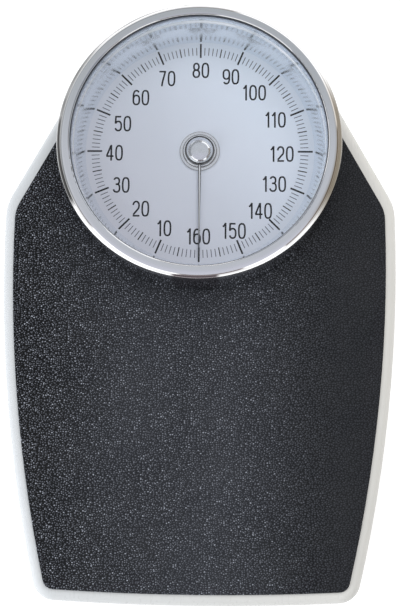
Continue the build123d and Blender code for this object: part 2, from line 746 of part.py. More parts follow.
def bracket_rivets():
    seat = FLOOR + BRACKET_SHEET
    profile = [
        (0, FOOT_HEIGHT),
        (RIVET_RADIUS, FOOT_HEIGHT),
        (RIVET_RADIUS, seat),
        (RIVET_HEAD_RADIUS, seat),
        (RIVET_HEAD_RADIUS * 0.7, seat + RIVET_HEAD_HEIGHT),
        (0, seat + RIVET_HEAD_HEIGHT),
    ]
    return group([turned(profile, x * rx, ry) for rx, ry in rivet_places() for x in SIDES])


def load_points():
    """The right-hand places where the platform bears on the levers."""
    front_y = FRONT_FULCRUM_Y + LOAD_ARM
    rear_y = REAR_FULCRUM_Y - LOAD_ARM
    return [
        (FRONT_FULCRUM_X - LONG_SLOPE * LOAD_ARM, front_y),
        (REAR_FULCRUM_X - SHORT_SLOPE * LOAD_ARM, rear_y),
    ]


def load_saddles():
    saddles = []
    for x, y in load_points():
        for side in SIDES:
            px = side * x
            base = block(
                px - SADDLE_BASE / 2,
                px + SADDLE_BASE / 2,
                y - EAR_WIDTH / 2,
                y + EAR_WIDTH / 2,
                CEILING - BRACKET_SHEET,
                CEILING,
            )
            ears = ear_pair(px, y, CEILING, PIN_HEIGHT - EAR_ABOVE_PIN, PIN_HEIGHT, EAR_GAP)
            saddles.append(base + ears[0] + ears[1])
    return group(saddles)


# Levers


def lever_plate(start, end, outline):
    """An upright flat bar along a line in plan, from an outline of distance and height."""
    run = (end[0] - start[0], end[1] - start[1])
    length = hypot(*run)
    along = Vector(run[0] / length, run[1] / length, 0)
    drawing = Plane(
        origin=(start[0], start[1], 0), x_dir=along, z_dir=along.cross(Vector(0, 0, 1))
    )
    face = drawing * make_face(Polyline(*outline, close=True))
    return extrude(face, amount=LEVER_THICKNESS / 2, both=True)


def pin_hole(x, y):
    return cross_rod(PIN_RADIUS, x - PIN_LENGTH, x + PIN_LENGTH, y, PIN_HEIGHT)


def long_lever(side):
    start = (side * FRONT_FULCRUM_X, FRONT_FULCRUM_Y)
    end = (side * NOSE_X, NOSE_Y)
    length = hypot(FRONT_FULCRUM_X - NOSE_X, NOSE_ARM)
    knife = NOSE_KNIFE_HEIGHT + NOSE_KNIFE_DEPTH
    bar = lever_plate(
        start,
        end,
        [
            (-LEVER_END, LEVER_BOTTOM),
            (length - NOSE_FLAT - NOSE_STEP, LEVER_BOTTOM),
            (length - NOSE_FLAT, knife),
            (length - NOSE_KNIFE_DEPTH, knife),
            (length, NOSE_KNIFE_HEIGHT),
            (length + NOSE_KNIFE_DEPTH, knife),
            (length + NOSE_TAIL, knife),
            (length + NOSE_TAIL, LEVER_TOP),
            (-LEVER_END, LEVER_TOP),
        ],
    )
    load_x, load_y = load_points()[0]
    return bar - pin_hole(*start) - pin_hole(side * load_x, load_y)


def short_lever(side):
    start = (side * REAR_FULCRUM_X, REAR_FULCRUM_Y)
    end = (side * LINK_X, LINK_Y)
    length = hypot(REAR_FULCRUM_X - LINK_X, REAR_FULCRUM_Y - LINK_Y)
    nose_top = SHORT_NOSE_BOTTOM + SHORT_NOSE_HEIGHT
    flat = length - SHORT_NOSE_FLAT
    step = flat - SHORT_NOSE_STEP
    tail = length + SHORT_NOSE_TAIL
    lead = LEVER_THICKNESS
    bar = lever_plate(
        start,
        end,
        [
            (-LEVER_END, LEVER_BOTTOM),
            (step, LEVER_BOTTOM),
            (flat, SHORT_NOSE_BOTTOM),
            (tail, SHORT_NOSE_BOTTOM),
            (tail, nose_top),
            (flat + lead, nose_top),
            (step + lead, LEVER_TOP),
            (-LEVER_END, LEVER_TOP),
        ],
    )
    load_x, load_y = load_points()[1]
    return bar - pin_hole(*start) - pin_hole(side * load_x, load_y)


def lever_pins(places):
    half = PIN_LENGTH / 2
    return group([cross_rod(PIN_RADIUS, x - half, x + half, y, PIN_HEIGHT) for x, y in places])


def long_lever_pins():
    right = [(FRONT_FULCRUM_X, FRONT_FULCRUM_Y), load_points()[0]]
    return lever_pins([(side * x, y) for x, y in right for side in SIDES])


def short_lever_pins(side):
    load_x, load_y = load_points()[1]
    return lever_pins([(side * REAR_FULCRUM_X, REAR_FULCRUM_Y), (side * load_x, load_y)])


def lever_tie():
    half = FRONT_FULCRUM_X - LONG_SLOPE * (TIE_Y - FRONT_FULCRUM_Y) + TIE_OVERHANG
    front, rear = TIE_Y - TIE_WIDTH / 2, TIE_Y + TIE_WIDTH / 2
    return block(-half, half, front, rear, LEVER_BOTTOM - TIE_THICKNESS, LEVER_BOTTOM)


def lever_links():
    low = SHORT_NOSE_BOTTOM - FACE_GAP
    high = LEVER_TOP + FACE_GAP
    half = LINK_OPENING / 2
    links = []
    for side in SIDES:
        x = side * LINK_X
        outer = block(
            x - half - LINK_WALL,
            x + half + LINK_WALL,
            LINK_Y - LINK_DEPTH / 2,
            LINK_Y + LINK_DEPTH / 2,
            low - LINK_WALL,
            high + LINK_WALL,
        )
        outer = fillet(outer.edges().filter_by(Axis.Y), LINK_WALL)
        opening = block(x - half, x + half, LINK_Y - LINK_DEPTH, LINK_Y + LINK_DEPTH, low, high)
        links.append(outer - opening)
    return group(links)


def calibration_plate():
    """The plate under the knife noses, notched where the crank's arm swings up beside it."""
    half = CALIBRATION_WIDTH / 2
    front, rear = NOSE_Y - CALIBRATION_DEPTH / 2, NOSE_Y + CALIBRATION_DEPTH / 2
    low, high = CALIBRATION_BOTTOM - 1, CALIBRATION_TOP + 1
    plate = block(-half, half, front, rear, CALIBRATION_BOTTOM, CALIBRATION_TOP)
    plate -= rod(MAIN_WIRE / 2 + FACE_GAP, low, high, 0, NOSE_Y)
    reach = CRANK_SHEET / 2 + FACE_GAP
    notch_end = NOSE_Y - CALIBRATION_NOTCH_GAP
    return plate - block(CRANK_X - reach, CRANK_X + reach, front - 1, notch_end, low, high)


# Springs


def arc_pair(start, start_way, end, end_way):
    """Two arcs that leave one point and reach the other along given directions."""
    gap = end - start
    both = start_way + end_way
    square = 2 * (1 - start_way.dot(end_way))
    mix = gap.dot(both)
    if square < 1e-9:
        reach = gap.dot(gap) / (2 * mix)
    else:
        reach = (-mix + sqrt(mix**2 + square * gap.dot(gap))) / square
    middle = (start + start_way * reach + end - end_way * reach) * 0.5
    first = Edge.make_tangent_arc(start, start_way, middle)
    second = Edge.make_tangent_arc(middle, first.tangent_at(1), end)
    return [first, second]


def coil(radius, wire, coils, z0, z1, spans_per_turn=4):
    """A round wire wound upwards, with its two ends cut square."""
    pitch = (z1 - z0 - wire) / coils
    spans = int(coils * spans_per_turn)

    def place(step):
        turn = 2 * pi * step / spans_per_turn
        return Vector(radius * cos(turn), radius * sin(turn), z0 + wire / 2 + pitch * step / spans_per_turn)

    def way(step):
        turn = 2 * pi * step / spans_per_turn
        return Vector(-radius * sin(turn), radius * cos(turn), pitch / (2 * pi)).normalized()

    edges = []
    for step in range(spans):
        edges += arc_pair(place(step), way(step), place(step + 1), way(step + 1))
    path = Wire(edges)
    section = Plane(origin=place(0), z_dir=way(0)) * Circle(wire / 2)
    print("coil gap", round(least_gap(path, 4 * coils, wire), 2))
    return sweep(section, path=path)


def least_gap(path, steps_per_side, wire):
    """Nearest that the wire comes to its own next turns, measured on points of its centre line."""
    count = int(steps_per_side * 12)
    points = [path @ (step / count) for step in range(count + 1)]
    apart = 3 * wire
    nearest = []
    for first, a in enumerate(points):
        far = first
        while far < count and (points[far] - a).length < apart and far - first < count:
            far += 1
        if far < count:
            nearest.append(min((b - a).length for b in points[far:]))
    return min(nearest) - wire


def main_spring():
    low = CALIBRATION_TOP + FACE_GAP
    high = ZERO_HOOK_HEIGHT - ZERO_HOOK_RADIUS - FACE_GAP
    print("main spring top", high)
    spring = coil(MAIN_COIL_RADIUS, MAIN_WIRE, MAIN_COILS, low, high)
    return Pos(0, NOSE_Y, 0) * spring


def retaining_springs():
    low, high = FLOOR + FACE_GAP, CEILING - FACE_GAP
    wound = coil(RETAINING_COIL_RADIUS, RETAINING_WIRE, RETAINING_COILS, low, high)
    return group([Pos(side * RETAINING_X, RETAINING_Y, 0) * wound for side in SIDES])


def spring_studs():
    profile = [
        (0, CEILING - SPIGOT_HEIGHT),
        (SPIGOT_RADIUS - 1, CEILING - SPIGOT_HEIGHT),
        (SPIGOT_RADIUS, CEILING - SPIGOT_HEIGHT + 1),
        (SPIGOT_RADIUS, CEILING),
        (0, CEILING),
    ]
    return group([turned(profile, s * RETAINING_X, RETAINING_Y) for s in SIDES])


# Movement


def movement_plate():
    outline = Rectangle(MOVEMENT_PLATE_X, MOVEMENT_PLATE_Y) & Circle(PEDESTAL_BORE_RADIUS - FACE_GAP)
    outline -= Pos(0, NOSE_REACH) * Circle(MAIN_COIL_RADIUS + MAIN_WIRE + FREE_GAP)
    outline -= Circle(BUSH_RADIUS)
    swing = (MOVEMENT_TOP - CRANK_Z) * tan(HALF_SWING) + CRANK_ROOT_RADIUS / 2 + FREE_GAP
    outline -= Pos(CRANK_X, CRANK_Y - DIAL_Y) * Rectangle(CRANK_SHEET + 2 * FREE_GAP, 2 * swing)
    for x in SIDES:
        for px, py in leg_places(movement_screw_radius()):
            outline -= Pos(x * px, py - DIAL_Y) * Circle(SCREW_SHANK_RADIUS + HOLE_FIT)
    return extrude(Pos(0, DIAL_Y, MOVEMENT_PLATE_BOTTOM) * outline, amount=MOVEMENT_PLATE)


def bearing_bridge():
    half = BRIDGE_SPAN / 2
    low, high = DIAL_Y - BRIDGE_WIDTH / 2, DIAL_Y + BRIDGE_WIDTH / 2
    top = BRIDGE_BOTTOM + BRIDGE_SHEET
    bridge = block(-half, half, low, high, BRIDGE_BOTTOM, top)
    for s in SIDES:
        inner, outer = sorted((s * (half - BRIDGE_SHEET), s * half))
        bridge += block(inner, outer, low, high, MOVEMENT_TOP, top)
        inner, outer = sorted((s * (half - BRIDGE_SHEET), s * (half + BRIDGE_FOOT)))
        bridge += block(inner, outer, low, high, MOVEMENT_TOP, MOVEMENT_TOP + BRIDGE_SHEET)
    stud_x = HAIR_SPRING_REACH + HAIR_SPRING_STRIP / 2 + HAIR_SPRING_STUD_RADIUS
    bridge += rod(HAIR_SPRING_STUD_RADIUS, HAIR_SPRING_BOTTOM, BRIDGE_BOTTOM, stud_x, DIAL_Y)
    return bridge - rod(BUSH_RADIUS, BRIDGE_BOTTOM - 1, top + 1, 0, DIAL_Y)


def shaft_bushings():
    bore = SHAFT_RADIUS + RUNNING_FIT
    lower = (MOVEMENT_PLATE_BOTTOM - BUSH_PROUD, MOVEMENT_TOP)
    upper = (BRIDGE_BOTTOM - BUSH_PROUD, BRIDGE_BOTTOM + BRIDGE_SHEET)
    bushes = []
    for low, seat in (lower, upper):
        bushes.append(
            turned(
                [
                    (bore, low),
                    (BUSH_RADIUS, low),
                    (BUSH_RADIUS, seat),
                    (BUSH_FLANGE_RADIUS, seat),
                    (BUSH_FLANGE_RADIUS, seat + BUSH_FLANGE),
                    (bore, seat + BUSH_FLANGE),
                ],
                y=DIAL_Y,
            )
        )
    return group(bushes)


def rack_outline():
    """Teeth face the pinion; the back is straight. Drawn about the pinion's centre."""
    pitch = pi * MODULE
    half = pitch / 4 - TOOTH_SLACK / 2
    tip = -PITCH_RADIUS + 0.8 * MODULE
    root = -PITCH_RADIUS - 1.25 * MODULE
    lean = 0.36
    points = [(-PITCH_RADIUS - RACK_BACK, RACK_FRONT_Y), (root, RACK_FRONT_Y)]
    count = int((RACK_TRAVEL + 4) / pitch)
    for index in range(-count, 3):
        centre = (index - 0.5) * pitch
        points += [
            (root, centre - half - lean * (-PITCH_RADIUS - root)),
            (tip, centre - half + lean * (tip + PITCH_RADIUS)),
            (tip, centre + half - lean * (tip + PITCH_RADIUS)),
            (root, centre + half + lean * (-PITCH_RADIUS - root)),
        ]
    points += [(root, RACK_REAR_Y), (-PITCH_RADIUS - RACK_BACK, RACK_REAR_Y)]
    return make_face(Polyline(*points, close=True))


def rack():
    """Toothed bar with a slot for the crank's finger, relieved below where the arm leans."""
    bar = extrude(Pos(0, DIAL_Y, RACK_BOTTOM) * rack_outline(), amount=RACK_THICKNESS)
    reach = CRANK_SHEET / 2 + FACE_GAP
    for half, top in (
        (CRANK_FINGER_RADIUS + SLIDE_GAP, RACK_TOP + 1),
        (RACK_RELIEF_HALF, RACK_BOTTOM + RACK_RELIEF),
    ):
        front, rear = FINGER_Y - half, FINGER_Y + half
        bar -= block(CRANK_X - reach, CRANK_X + reach, front, rear, RACK_BOTTOM - 1, top)
    return bar


def rack_guide():
    back = -PITCH_RADIUS - RACK_BACK
    wall = back - FACE_GAP
    low, high = DIAL_Y + RACK_FRONT_Y, DIAL_Y + 2
    bed_top = RACK_BOTTOM - FACE_GAP
    edge = -BUSH_FLANGE_RADIUS - 0.4
    guide = block(wall - SHEET, edge, low, high, MOVEMENT_TOP, bed_top)
    guide += block(wall - SHEET, wall, low, high, bed_top, RACK_TOP + FACE_GAP)
    lip_end = DIAL_Y - 12
    guide += block(wall - SHEET, back + 2, low, lip_end, RACK_TOP + FACE_GAP, RACK_TOP + FACE_GAP + SHEET)
    return guide


def pinion_shaft():
    """Upright shaft with the pinion cut on it, a collar over the lower bush and a spring collet."""
    pitch_turn = 2 * pi / PINION_TEETH
    half = (pi * MODULE / 4 - TOOTH_SLACK / 2) / PITCH_RADIUS
    tip = PITCH_RADIUS + 0.8 * MODULE
    root = PITCH_RADIUS - 1.3 * MODULE
    points = []
    for index in range(PINION_TEETH):
        middle = pi + index * pitch_turn
        for radius, spread in ((root, half * 1.35), (PITCH_RADIUS, half), (tip, half * 0.42)):
            points.append((radius * cos(middle - spread), radius * sin(middle - spread)))
        for radius, spread in ((tip, half * 0.42), (PITCH_RADIUS, half), (root, half * 1.35)):
            points.append((radius * cos(middle + spread), radius * sin(middle + spread)))
    low, high = RACK_BOTTOM + SLIDE_GAP, RACK_TOP - SLIDE_GAP
    outline = make_face(Polyline(*points, close=True))
    teeth = extrude(Pos(0, 0, low) * outline, amount=high - low)
    shaft = rod(SHAFT_RADIUS, SHAFT_BOTTOM, needle_top() + SHAFT_IN_CAP)
    collar = rod(root, MOVEMENT_TOP + BUSH_FLANGE + FACE_GAP, low)
    collet_radius = HAIR_SPRING_START - HAIR_SPRING_STRIP / 2 - SLIDE_GAP
    collet = rod(collet_radius, RACK_TOP + FACE_GAP, BRIDGE_BOTTOM - BUSH_PROUD - FACE_GAP)
    return Pos(0, DIAL_Y, 0) * (shaft + teeth + collar + collet)


def hair_spring():
    """A flat spiral of half turns, thin and upright, pinned at its outer end."""
    edges = []
    radius = HAIR_SPRING_START
    centre = 0.0
    grow = HAIR_SPRING_STEP / 2
    for index in range(2 * HAIR_SPRING_TURNS):
        side = 1 if index % 2 == 0 else -1
        start = (centre + side * radius, 0)
        end = (centre - side * radius, 0)
        edges.append(ThreePointArc(start, (centre, side * radius), end))
        centre += side * grow
        radius += grow
    path = Wire(edges)
    section = Plane(origin=path @ 0, z_dir=path % 0) * Rectangle(HAIR_SPRING_STRIP, HAIR_SPRING_HEIGHT)
    strip = sweep(section, path=path)
    lift = HAIR_SPRING_BOTTOM + HAIR_SPRING_HEIGHT / 2
    return Pos(0, DIAL_Y, lift) * strip


def crank_outline():
    """One arm ends in a round nose under the plate, the other in a slim neck and a round finger."""
    root = (CRANK_Y, CRANK_Z)
    tip = (NOSE_Y, CRANK_TIP_Z)
    finger = (FINGER_Y, FINGER_Z)
    neck_arm = CRANK_FINGER_ARM - CRANK_NECK_LENGTH
    neck = (CRANK_Y - neck_arm * sin(HALF_SWING), CRANK_Z + neck_arm * cos(HALF_SWING))
    outline = tapered(root, CRANK_ROOT_RADIUS, tip, CRANK_ARM_END_RADIUS)
    outline += tapered(root, CRANK_ROOT_RADIUS, neck, CRANK_NECK_RADIUS)
    outline += tapered(neck, CRANK_NECK_RADIUS, finger, CRANK_NECK_RADIUS)
    return outline + Pos(*tip) * Circle(CRANK_TIP_RADIUS) + Pos(*finger) * Circle(CRANK_FINGER_RADIUS)


def bell_crank():
    plate = extrude(Plane.YZ.offset(CRANK_X - CRANK_SHEET / 2) * crank_outline(), amount=CRANK_SHEET)
    half = CRANK_HUB_LENGTH / 2
    hub = cross_rod(CRANK_ROOT_RADIUS, CRANK_X - half, CRANK_X + half, CRANK_Y, CRANK_Z)
    return plate + hub - crank_bore(CRANK_PIN_RADIUS + RUNNING_FIT)


def crank_bore(radius):
    reach = CRANK_HUB_LENGTH
    return cross_rod(radius, CRANK_X - reach, CRANK_X + reach, CRANK_Y, CRANK_Z)


def crank_bracket():
    inner = CRANK_HUB_LENGTH / 2 + FACE_GAP
    outer = inner + SHEET
    half = CRANK_ROOT_RADIUS + FREE_GAP
    front, rear = CRANK_Y - half, CRANK_Y + half
    foot_end = CRANK_X + outer + BRACKET_FOOT
    bracket = block(CRANK_X - outer, foot_end, front, rear, FLOOR, FLOOR + SHEET)
    for s in SIDES:
        low, high = sorted((CRANK_X + s * inner, CRANK_X + s * outer))
        bracket += block(low, high, front, rear, FLOOR, CRANK_Z + half)
    return bracket - crank_bore(CRANK_PIN_RADIUS)


def crank_pin():
    reach = CRANK_HUB_LENGTH / 2 + FACE_GAP + SHEET + PIN_PROUD
    return cross_rod(CRANK_PIN_RADIUS, CRANK_X - reach, CRANK_X + reach, CRANK_Y, CRANK_Z)


# Zero adjustment


def zero_bore(radius):
    """The pivot's hole, cut right across the lever and its bracket."""
    reach = ZERO_LEVER_SHEET + BRACKET_FOOT
    return cross_rod(radius, -reach, reach, DIAL_Y + ZERO_PIVOT_REACH, ZERO_PIVOT_HEIGHT)


def zero_lever():
    """Level arm over the main spring, a slope down to the pivot and a rear arm with its nut."""
    pivot = (DIAL_Y + ZERO_PIVOT_REACH, ZERO_PIVOT_HEIGHT)
    hook = (NOSE_Y, ZERO_HOOK_HEIGHT)
    elbow = (NOSE_Y + ZERO_ELBOW_REACH, ZERO_HOOK_HEIGHT)
    rear = (DIAL_Y + ZERO_SCREW_REACH, ZERO_PIVOT_HEIGHT)
    outline = tapered(hook, ZERO_HOOK_RADIUS, elbow, ZERO_HOOK_RADIUS)
    outline += tapered(pivot, ZERO_PIVOT_RADIUS, elbow, ZERO_HOOK_RADIUS)
    outline += tapered(pivot, ZERO_PIVOT_RADIUS, rear, ZERO_REAR_RADIUS)
    lever = extrude(Plane.YZ.offset(-ZERO_LEVER_SHEET / 2) * outline, amount=ZERO_LEVER_SHEET)
    half = ZERO_NUT_HEIGHT / 2
    lever += rod(ZERO_NUT_RADIUS, ZERO_PIVOT_HEIGHT - half, ZERO_PIVOT_HEIGHT + half, 0, rear[0])
    lever -= rod(ZERO_SCREW_RADIUS + FACE_GAP, 0, PLATFORM_TOP, 0, rear[0])
    return lever - zero_bore(PIN_RADIUS + RUNNING_FIT)


def zero_lever_bracket():
    y = DIAL_Y + ZERO_PIVOT_REACH
    inner = ZERO_LEVER_SHEET / 2 + FACE_GAP
    outer = inner + SHEET
    foot = outer + BRACKET_FOOT
    half = EAR_WIDTH / 2
    bracket = block(-foot, foot, y - half, y + half, FLOOR, FLOOR + SHEET)
    for s in SIDES:
        low, high = sorted((s * inner, s * outer))
        bracket += block(low, high, y - half, y + half, FLOOR, ZERO_PIVOT_HEIGHT + EAR_ABOVE_PIN)
    return bracket - zero_bore(PIN_RADIUS)


def zero_lever_pin():
    reach = ZERO_LEVER_SHEET / 2 + FACE_GAP + SHEET + PIN_PROUD
    return cross_rod(PIN_RADIUS, -reach, reach, DIAL_Y + ZERO_PIVOT_REACH, ZERO_PIVOT_HEIGHT)


def zero_knob():
    y = DIAL_Y + ZERO_SCREW_REACH
    low = FLOOR + FACE_GAP
    points = []
    for index in range(2 * KNOB_RIBS):
        radius = KNOB_RADIUS - (KNOB_RIB_DEPTH if index % 2 else 0)
        turn = pi * index / KNOB_RIBS
        points.append((radius * cos(turn), radius * sin(turn)))
    wheel = extrude(Pos(0, y, low) * make_face(Polyline(*points, close=True)), amount=KNOB_THICKNESS)
    return wheel - rod(ZERO_SCREW_RADIUS, low - 1, low + KNOB_THICKNESS + 1, 0, y)


def zero_screw():
    return rod(ZERO_SCREW_RADIUS, FOOT_HEIGHT + SLIDE_GAP, ZERO_SCREW_TOP, 0, DIAL_Y + ZERO_SCREW_REACH)


# Pointer


def ring_top():
    return DIAL_FACE + FACE_GAP + HUB_RING_THICKNESS + HUB_STEP_THICKNESS


def needle_top():
    return ring_top() + NEEDLE_THICKNESS


def hub_ring():
    low = DIAL_FACE + FACE_GAP
    return turned(
        [
            (SHAFT_RADIUS, low),
            (HUB_RING_RADIUS, low),
            (HUB_RING_RADIUS, low + HUB_RING_THICKNESS),
            (HUB_STEP_RADIUS, low + HUB_RING_THICKNESS),
            (HUB_STEP_RADIUS - HUB_STEP_THICKNESS / 2, ring_top()),
            (SHAFT_RADIUS, ring_top()),
        ],
        y=DIAL_Y,
    )


def pointer_needle():
    """Points at the zero of the dial, towards the front edge."""
    blade = make_face(
        Polyline(
            (-NEEDLE_ROOT_WIDTH / 2, 0),
            (-NEEDLE_TIP_WIDTH / 2, NEEDLE_POINT - NEEDLE_REACH),
            (0, -NEEDLE_REACH),
            (NEEDLE_TIP_WIDTH / 2, NEEDLE_POINT - NEEDLE_REACH),
            (NEEDLE_ROOT_WIDTH / 2, 0),
            close=True,
        )
    )
    outline = blade + Circle(NEEDLE_EYE_RADIUS) - Circle(SHAFT_RADIUS)
    return extrude(Pos(0, DIAL_Y, ring_top()) * outline, amount=NEEDLE_THICKNESS)


def hub_cap():
    low = needle_top()
    socket = low + SHAFT_IN_CAP
    brim = DOME_RADIUS + DOME_BRIM
    dome_base = low + DOME_BRIM_THICKNESS
    round_radius = (DOME_RADIUS**2 + DOME_HEIGHT**2) / (2 * DOME_HEIGHT)
    centre_z = dome_base + DOME_HEIGHT - round_radius
    half = atan2(dome_base - centre_z, DOME_RADIUS)
    middle = (half + pi / 2) / 2
    shoulder = (round_radius * cos(middle), centre_z + round_radius * sin(middle))
    edges = [
        Line((0, socket), (SHAFT_RADIUS, socket)),
        Line((SHAFT_RADIUS, socket), (SHAFT_RADIUS, low)),
        Line((SHAFT_RADIUS, low), (brim, low)),
        Line((brim, low), (brim, dome_base)),
        Line((brim, dome_base), (DOME_RADIUS, dome_base)),
        ThreePointArc((DOME_RADIUS, dome_base), shoulder, (0, dome_base + DOME_HEIGHT)),
        Line((0, dome_base + DOME_HEIGHT), (0, socket)),
    ]
    return Pos(0, DIAL_Y, 0) * revolve(Plane.XZ * make_face(edges), Axis.Z)


os.makedirs("parts", exist_ok=True)
save("base_tray", base_tray())
save("rubber_feet", rubber_feet())
save("fulcrum_brackets", fulcrum_brackets())
save("bracket_rivets", bracket_rivets())
save("platform_cover", platform_cover())
save("tread_mat", tread_mat())
save("load_saddles", load_saddles())
save("spring_studs", spring_studs())
save("long_lever_left", long_lever(-1))
save("long_lever_right", long_lever(1))
save("long_lever_pins", long_lever_pins())
save("lever_tie", lever_tie())
save("short_lever_left", short_lever(-1))
save("short_lever_right", short_lever(1))
save("short_lever_pins_left", short_lever_pins(-1))
save("short_lever_pins_right", short_lever_pins(1))
save("lever_links", lever_links())
save("calibration_plate", calibration_plate())
save("main_spring", main_spring())
save("retaining_springs", retaining_springs())
save("dial_pedestal", dial_pedestal())
save("pedestal_screws", pedestal_screws())
save("dial_housing", dial_housing())
save("housing_screws", housing_screws())
save("bezel_ring", bezel_ring())
save("dial_surround", dial_surround())
save("lens_gasket", lens_gasket())
save("dial_lens", dial_lens())
save("lens_seal", lens_seal())
save("dial_plate", dial_plate())
save("movement_plate", movement_plate())
save("movement_screws", movement_screws())
save("bearing_bridge", bearing_bridge())
save("shaft_bushings", shaft_bushings())
save("rack_guide", rack_guide())
save("rack", rack())
save("hair_spring", hair_spring())
save("bell_crank", bell_crank())
save("crank_bracket", crank_bracket())
save("crank_pin", crank_pin())
save("zero_lever", zero_lever())
save("zero_lever_bracket", zero_lever_bracket())
save("zero_lever_pin", zero_lever_pin())
save("zero_knob", zero_knob())
save("zero_screw", zero_screw())
save("pinion_shaft", pinion_shaft())
save("hub_ring", hub_ring())
save("pointer_needle", pointer_needle())
save("hub_cap", hub_cap())
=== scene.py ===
import math

import bpy
from mathutils import Matrix, Vector


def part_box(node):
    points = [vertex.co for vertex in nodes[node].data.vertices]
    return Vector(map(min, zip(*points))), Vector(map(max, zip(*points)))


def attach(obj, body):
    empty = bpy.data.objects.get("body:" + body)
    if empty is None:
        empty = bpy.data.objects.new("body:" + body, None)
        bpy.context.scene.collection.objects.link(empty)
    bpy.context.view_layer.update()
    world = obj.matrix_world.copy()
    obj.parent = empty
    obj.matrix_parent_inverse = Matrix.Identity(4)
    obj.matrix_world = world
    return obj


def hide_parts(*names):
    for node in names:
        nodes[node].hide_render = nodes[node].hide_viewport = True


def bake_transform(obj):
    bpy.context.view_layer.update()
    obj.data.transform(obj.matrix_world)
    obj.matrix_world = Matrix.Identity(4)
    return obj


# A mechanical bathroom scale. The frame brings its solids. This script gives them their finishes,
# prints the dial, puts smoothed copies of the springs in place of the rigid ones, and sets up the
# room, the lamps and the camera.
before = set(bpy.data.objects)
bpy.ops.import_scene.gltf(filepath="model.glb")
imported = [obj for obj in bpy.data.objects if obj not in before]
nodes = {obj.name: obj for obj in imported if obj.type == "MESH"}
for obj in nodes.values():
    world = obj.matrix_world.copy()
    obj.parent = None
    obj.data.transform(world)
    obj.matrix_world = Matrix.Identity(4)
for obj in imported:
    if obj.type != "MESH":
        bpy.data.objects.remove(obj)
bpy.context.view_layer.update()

MM = 0.001

# The dial's printing. A tick is given by its outer end from the dial's axis, its length and width.
DIAL_CENTRE = Vector((0.0, 0.1147, 0.0))
DIAL_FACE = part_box("dial_plate")[1].z
DIVISIONS = 160
TEN_TICK = (87.2 * MM, 11.5 * MM, 1.35 * MM)
FIVE_TICK = (84.3 * MM, 7.2 * MM, 0.8 * MM)
ONE_TICK = (83.9 * MM, 6.2 * MM, 0.55 * MM)
TICK_CORNER = 0.12
PRINT_SUNK = 0.05 * MM
PRINT_PROUD = 0.06 * MM
NUMBER_HEIGHT = 12.5 * MM
NUMBER_STROKE = 1.3 * MM
DIGIT_WIDTH = 6.0 * MM
DIGIT_ADVANCE = 7.05 * MM
ONE_ADVANCE = 4.95 * MM
MERGE_PRINT = 0.002 * MM
# The middle of each number from the dial's axis, in millimetres: the card's own uneven spacing
NUMBER_PLACES = {
    10: (-26.7, -60.9), 20: (-45.0, -45.6), 30: (-60.4, -26.9), 40: (-66.1, -1.3),
    50: (-60.1, 22.1), 60: (-46.4, 43.2), 70: (-26.2, 58.8), 80: (0.2, 65.5),
    90: (23.7, 60.3), 100: (42.1, 47.4), 110: (58.5, 25.5), 120: (63.5, -1.8),
    130: (57.6, -25.7), 140: (46.8, -46.9), 150: (26.8, -62.7), 160: (-0.4, -67.2),
}

# The needle, and where its bright middle ends and the painted dark reflections on its edges begin
# (shares of half its width) and its dark point begins (shares of its length)
NEEDLE_LENGTH = 85.0 * MM
NEEDLE_ROOT_HALF = 1.15 * MM
NEEDLE_TIP_HALF = 0.4 * MM
NEEDLE_EDGE_REFLECTION = (0.34, 0.6)
NEEDLE_POINT = (0.66, 0.86)

# Painted shade in dark lines at the hub's steps: distance from the axis, half width, and how dark
HUB_SHADE_LINES = ((10.8 * MM, 0.75 * MM, 1.0), (13.0 * MM, 0.4 * MM, 0.7), (15.4 * MM, 0.35 * MM, 0.5))

# Zones of the painted reflections and painted shade on the bezel's chrome, as distances from the
# dial's axis: where each begins and is full
LIP_SHADE_ZONE = (97.6 * MM, 97.2 * MM)
SHOULDER_ZONE = (100.5 * MM, 103.4 * MM)
BROWN_REFLECTION_ZONE = (101.8 * MM, 105.0 * MM)
DULL_REFLECTION_ZONE = (102.4 * MM, 103.4 * MM)
DARK_REFLECTION_ZONE = (103.9 * MM, 104.3 * MM)
PALE_REFLECTION_ZONE = (105.1 * MM, 105.6 * MM)
# A thin dark painted reflection round the bezel's outer rim: its distance from the axis, half its
# width, and the heights where it begins and is full
REFLECTED_LINE_RADIUS = 105.0 * MM
REFLECTED_LINE_HALF = 1.25 * MM
REFLECTED_LINE_HEIGHTS = (81.0 * MM, 82.0 * MM)

# Sides of the bezel where its painted reflections and painted shade lie, in degrees anticlockwise
# from the right: the middle, and how far to each side of it an effect is full and has ended
DULL_REFLECTION_SIDE = (172, 26, 38)
BROWN_REFLECTION_SIDE = (-5, 15, 38)
FRONT_REFLECTION_SIDE = (269, 8, 10.5)
LEFT_LIP_SHADE_SIDE = (182, 38, 50)
FRONT_LIP_SHADE_SIDE = (315, 22, 32)
# Where the dark painted reflection on the rim is full, and where it is patchy
REFLECTED_LINE_SIDE = (190, 15, 22)
BROKEN_REFLECTED_LINE_SIDE = (132, 32, 44)

# The painted highlight ring on the wall between dial and lens, for the light bent through the
# lens's rim: the height of its middle, and half its height
HIGHLIGHT_RING_HEIGHT = 77.0 * MM
HIGHLIGHT_RING_HALF = 3.0 * MM

# Grain of the tread mat: pebbles that are shorter than wide, shifted unevenly by the wobble.
# Fading draws their tones, the painted glints and the painted shade in the creases, towards the
# mean.
PEBBLES_PER_METRE = 560.0
PEBBLE_SQUEEZE = 1.2
PEBBLE_WOBBLE = 1.4 * MM
WOBBLES_PER_METRE = 320.0
PEBBLE_MEAN = 0.38
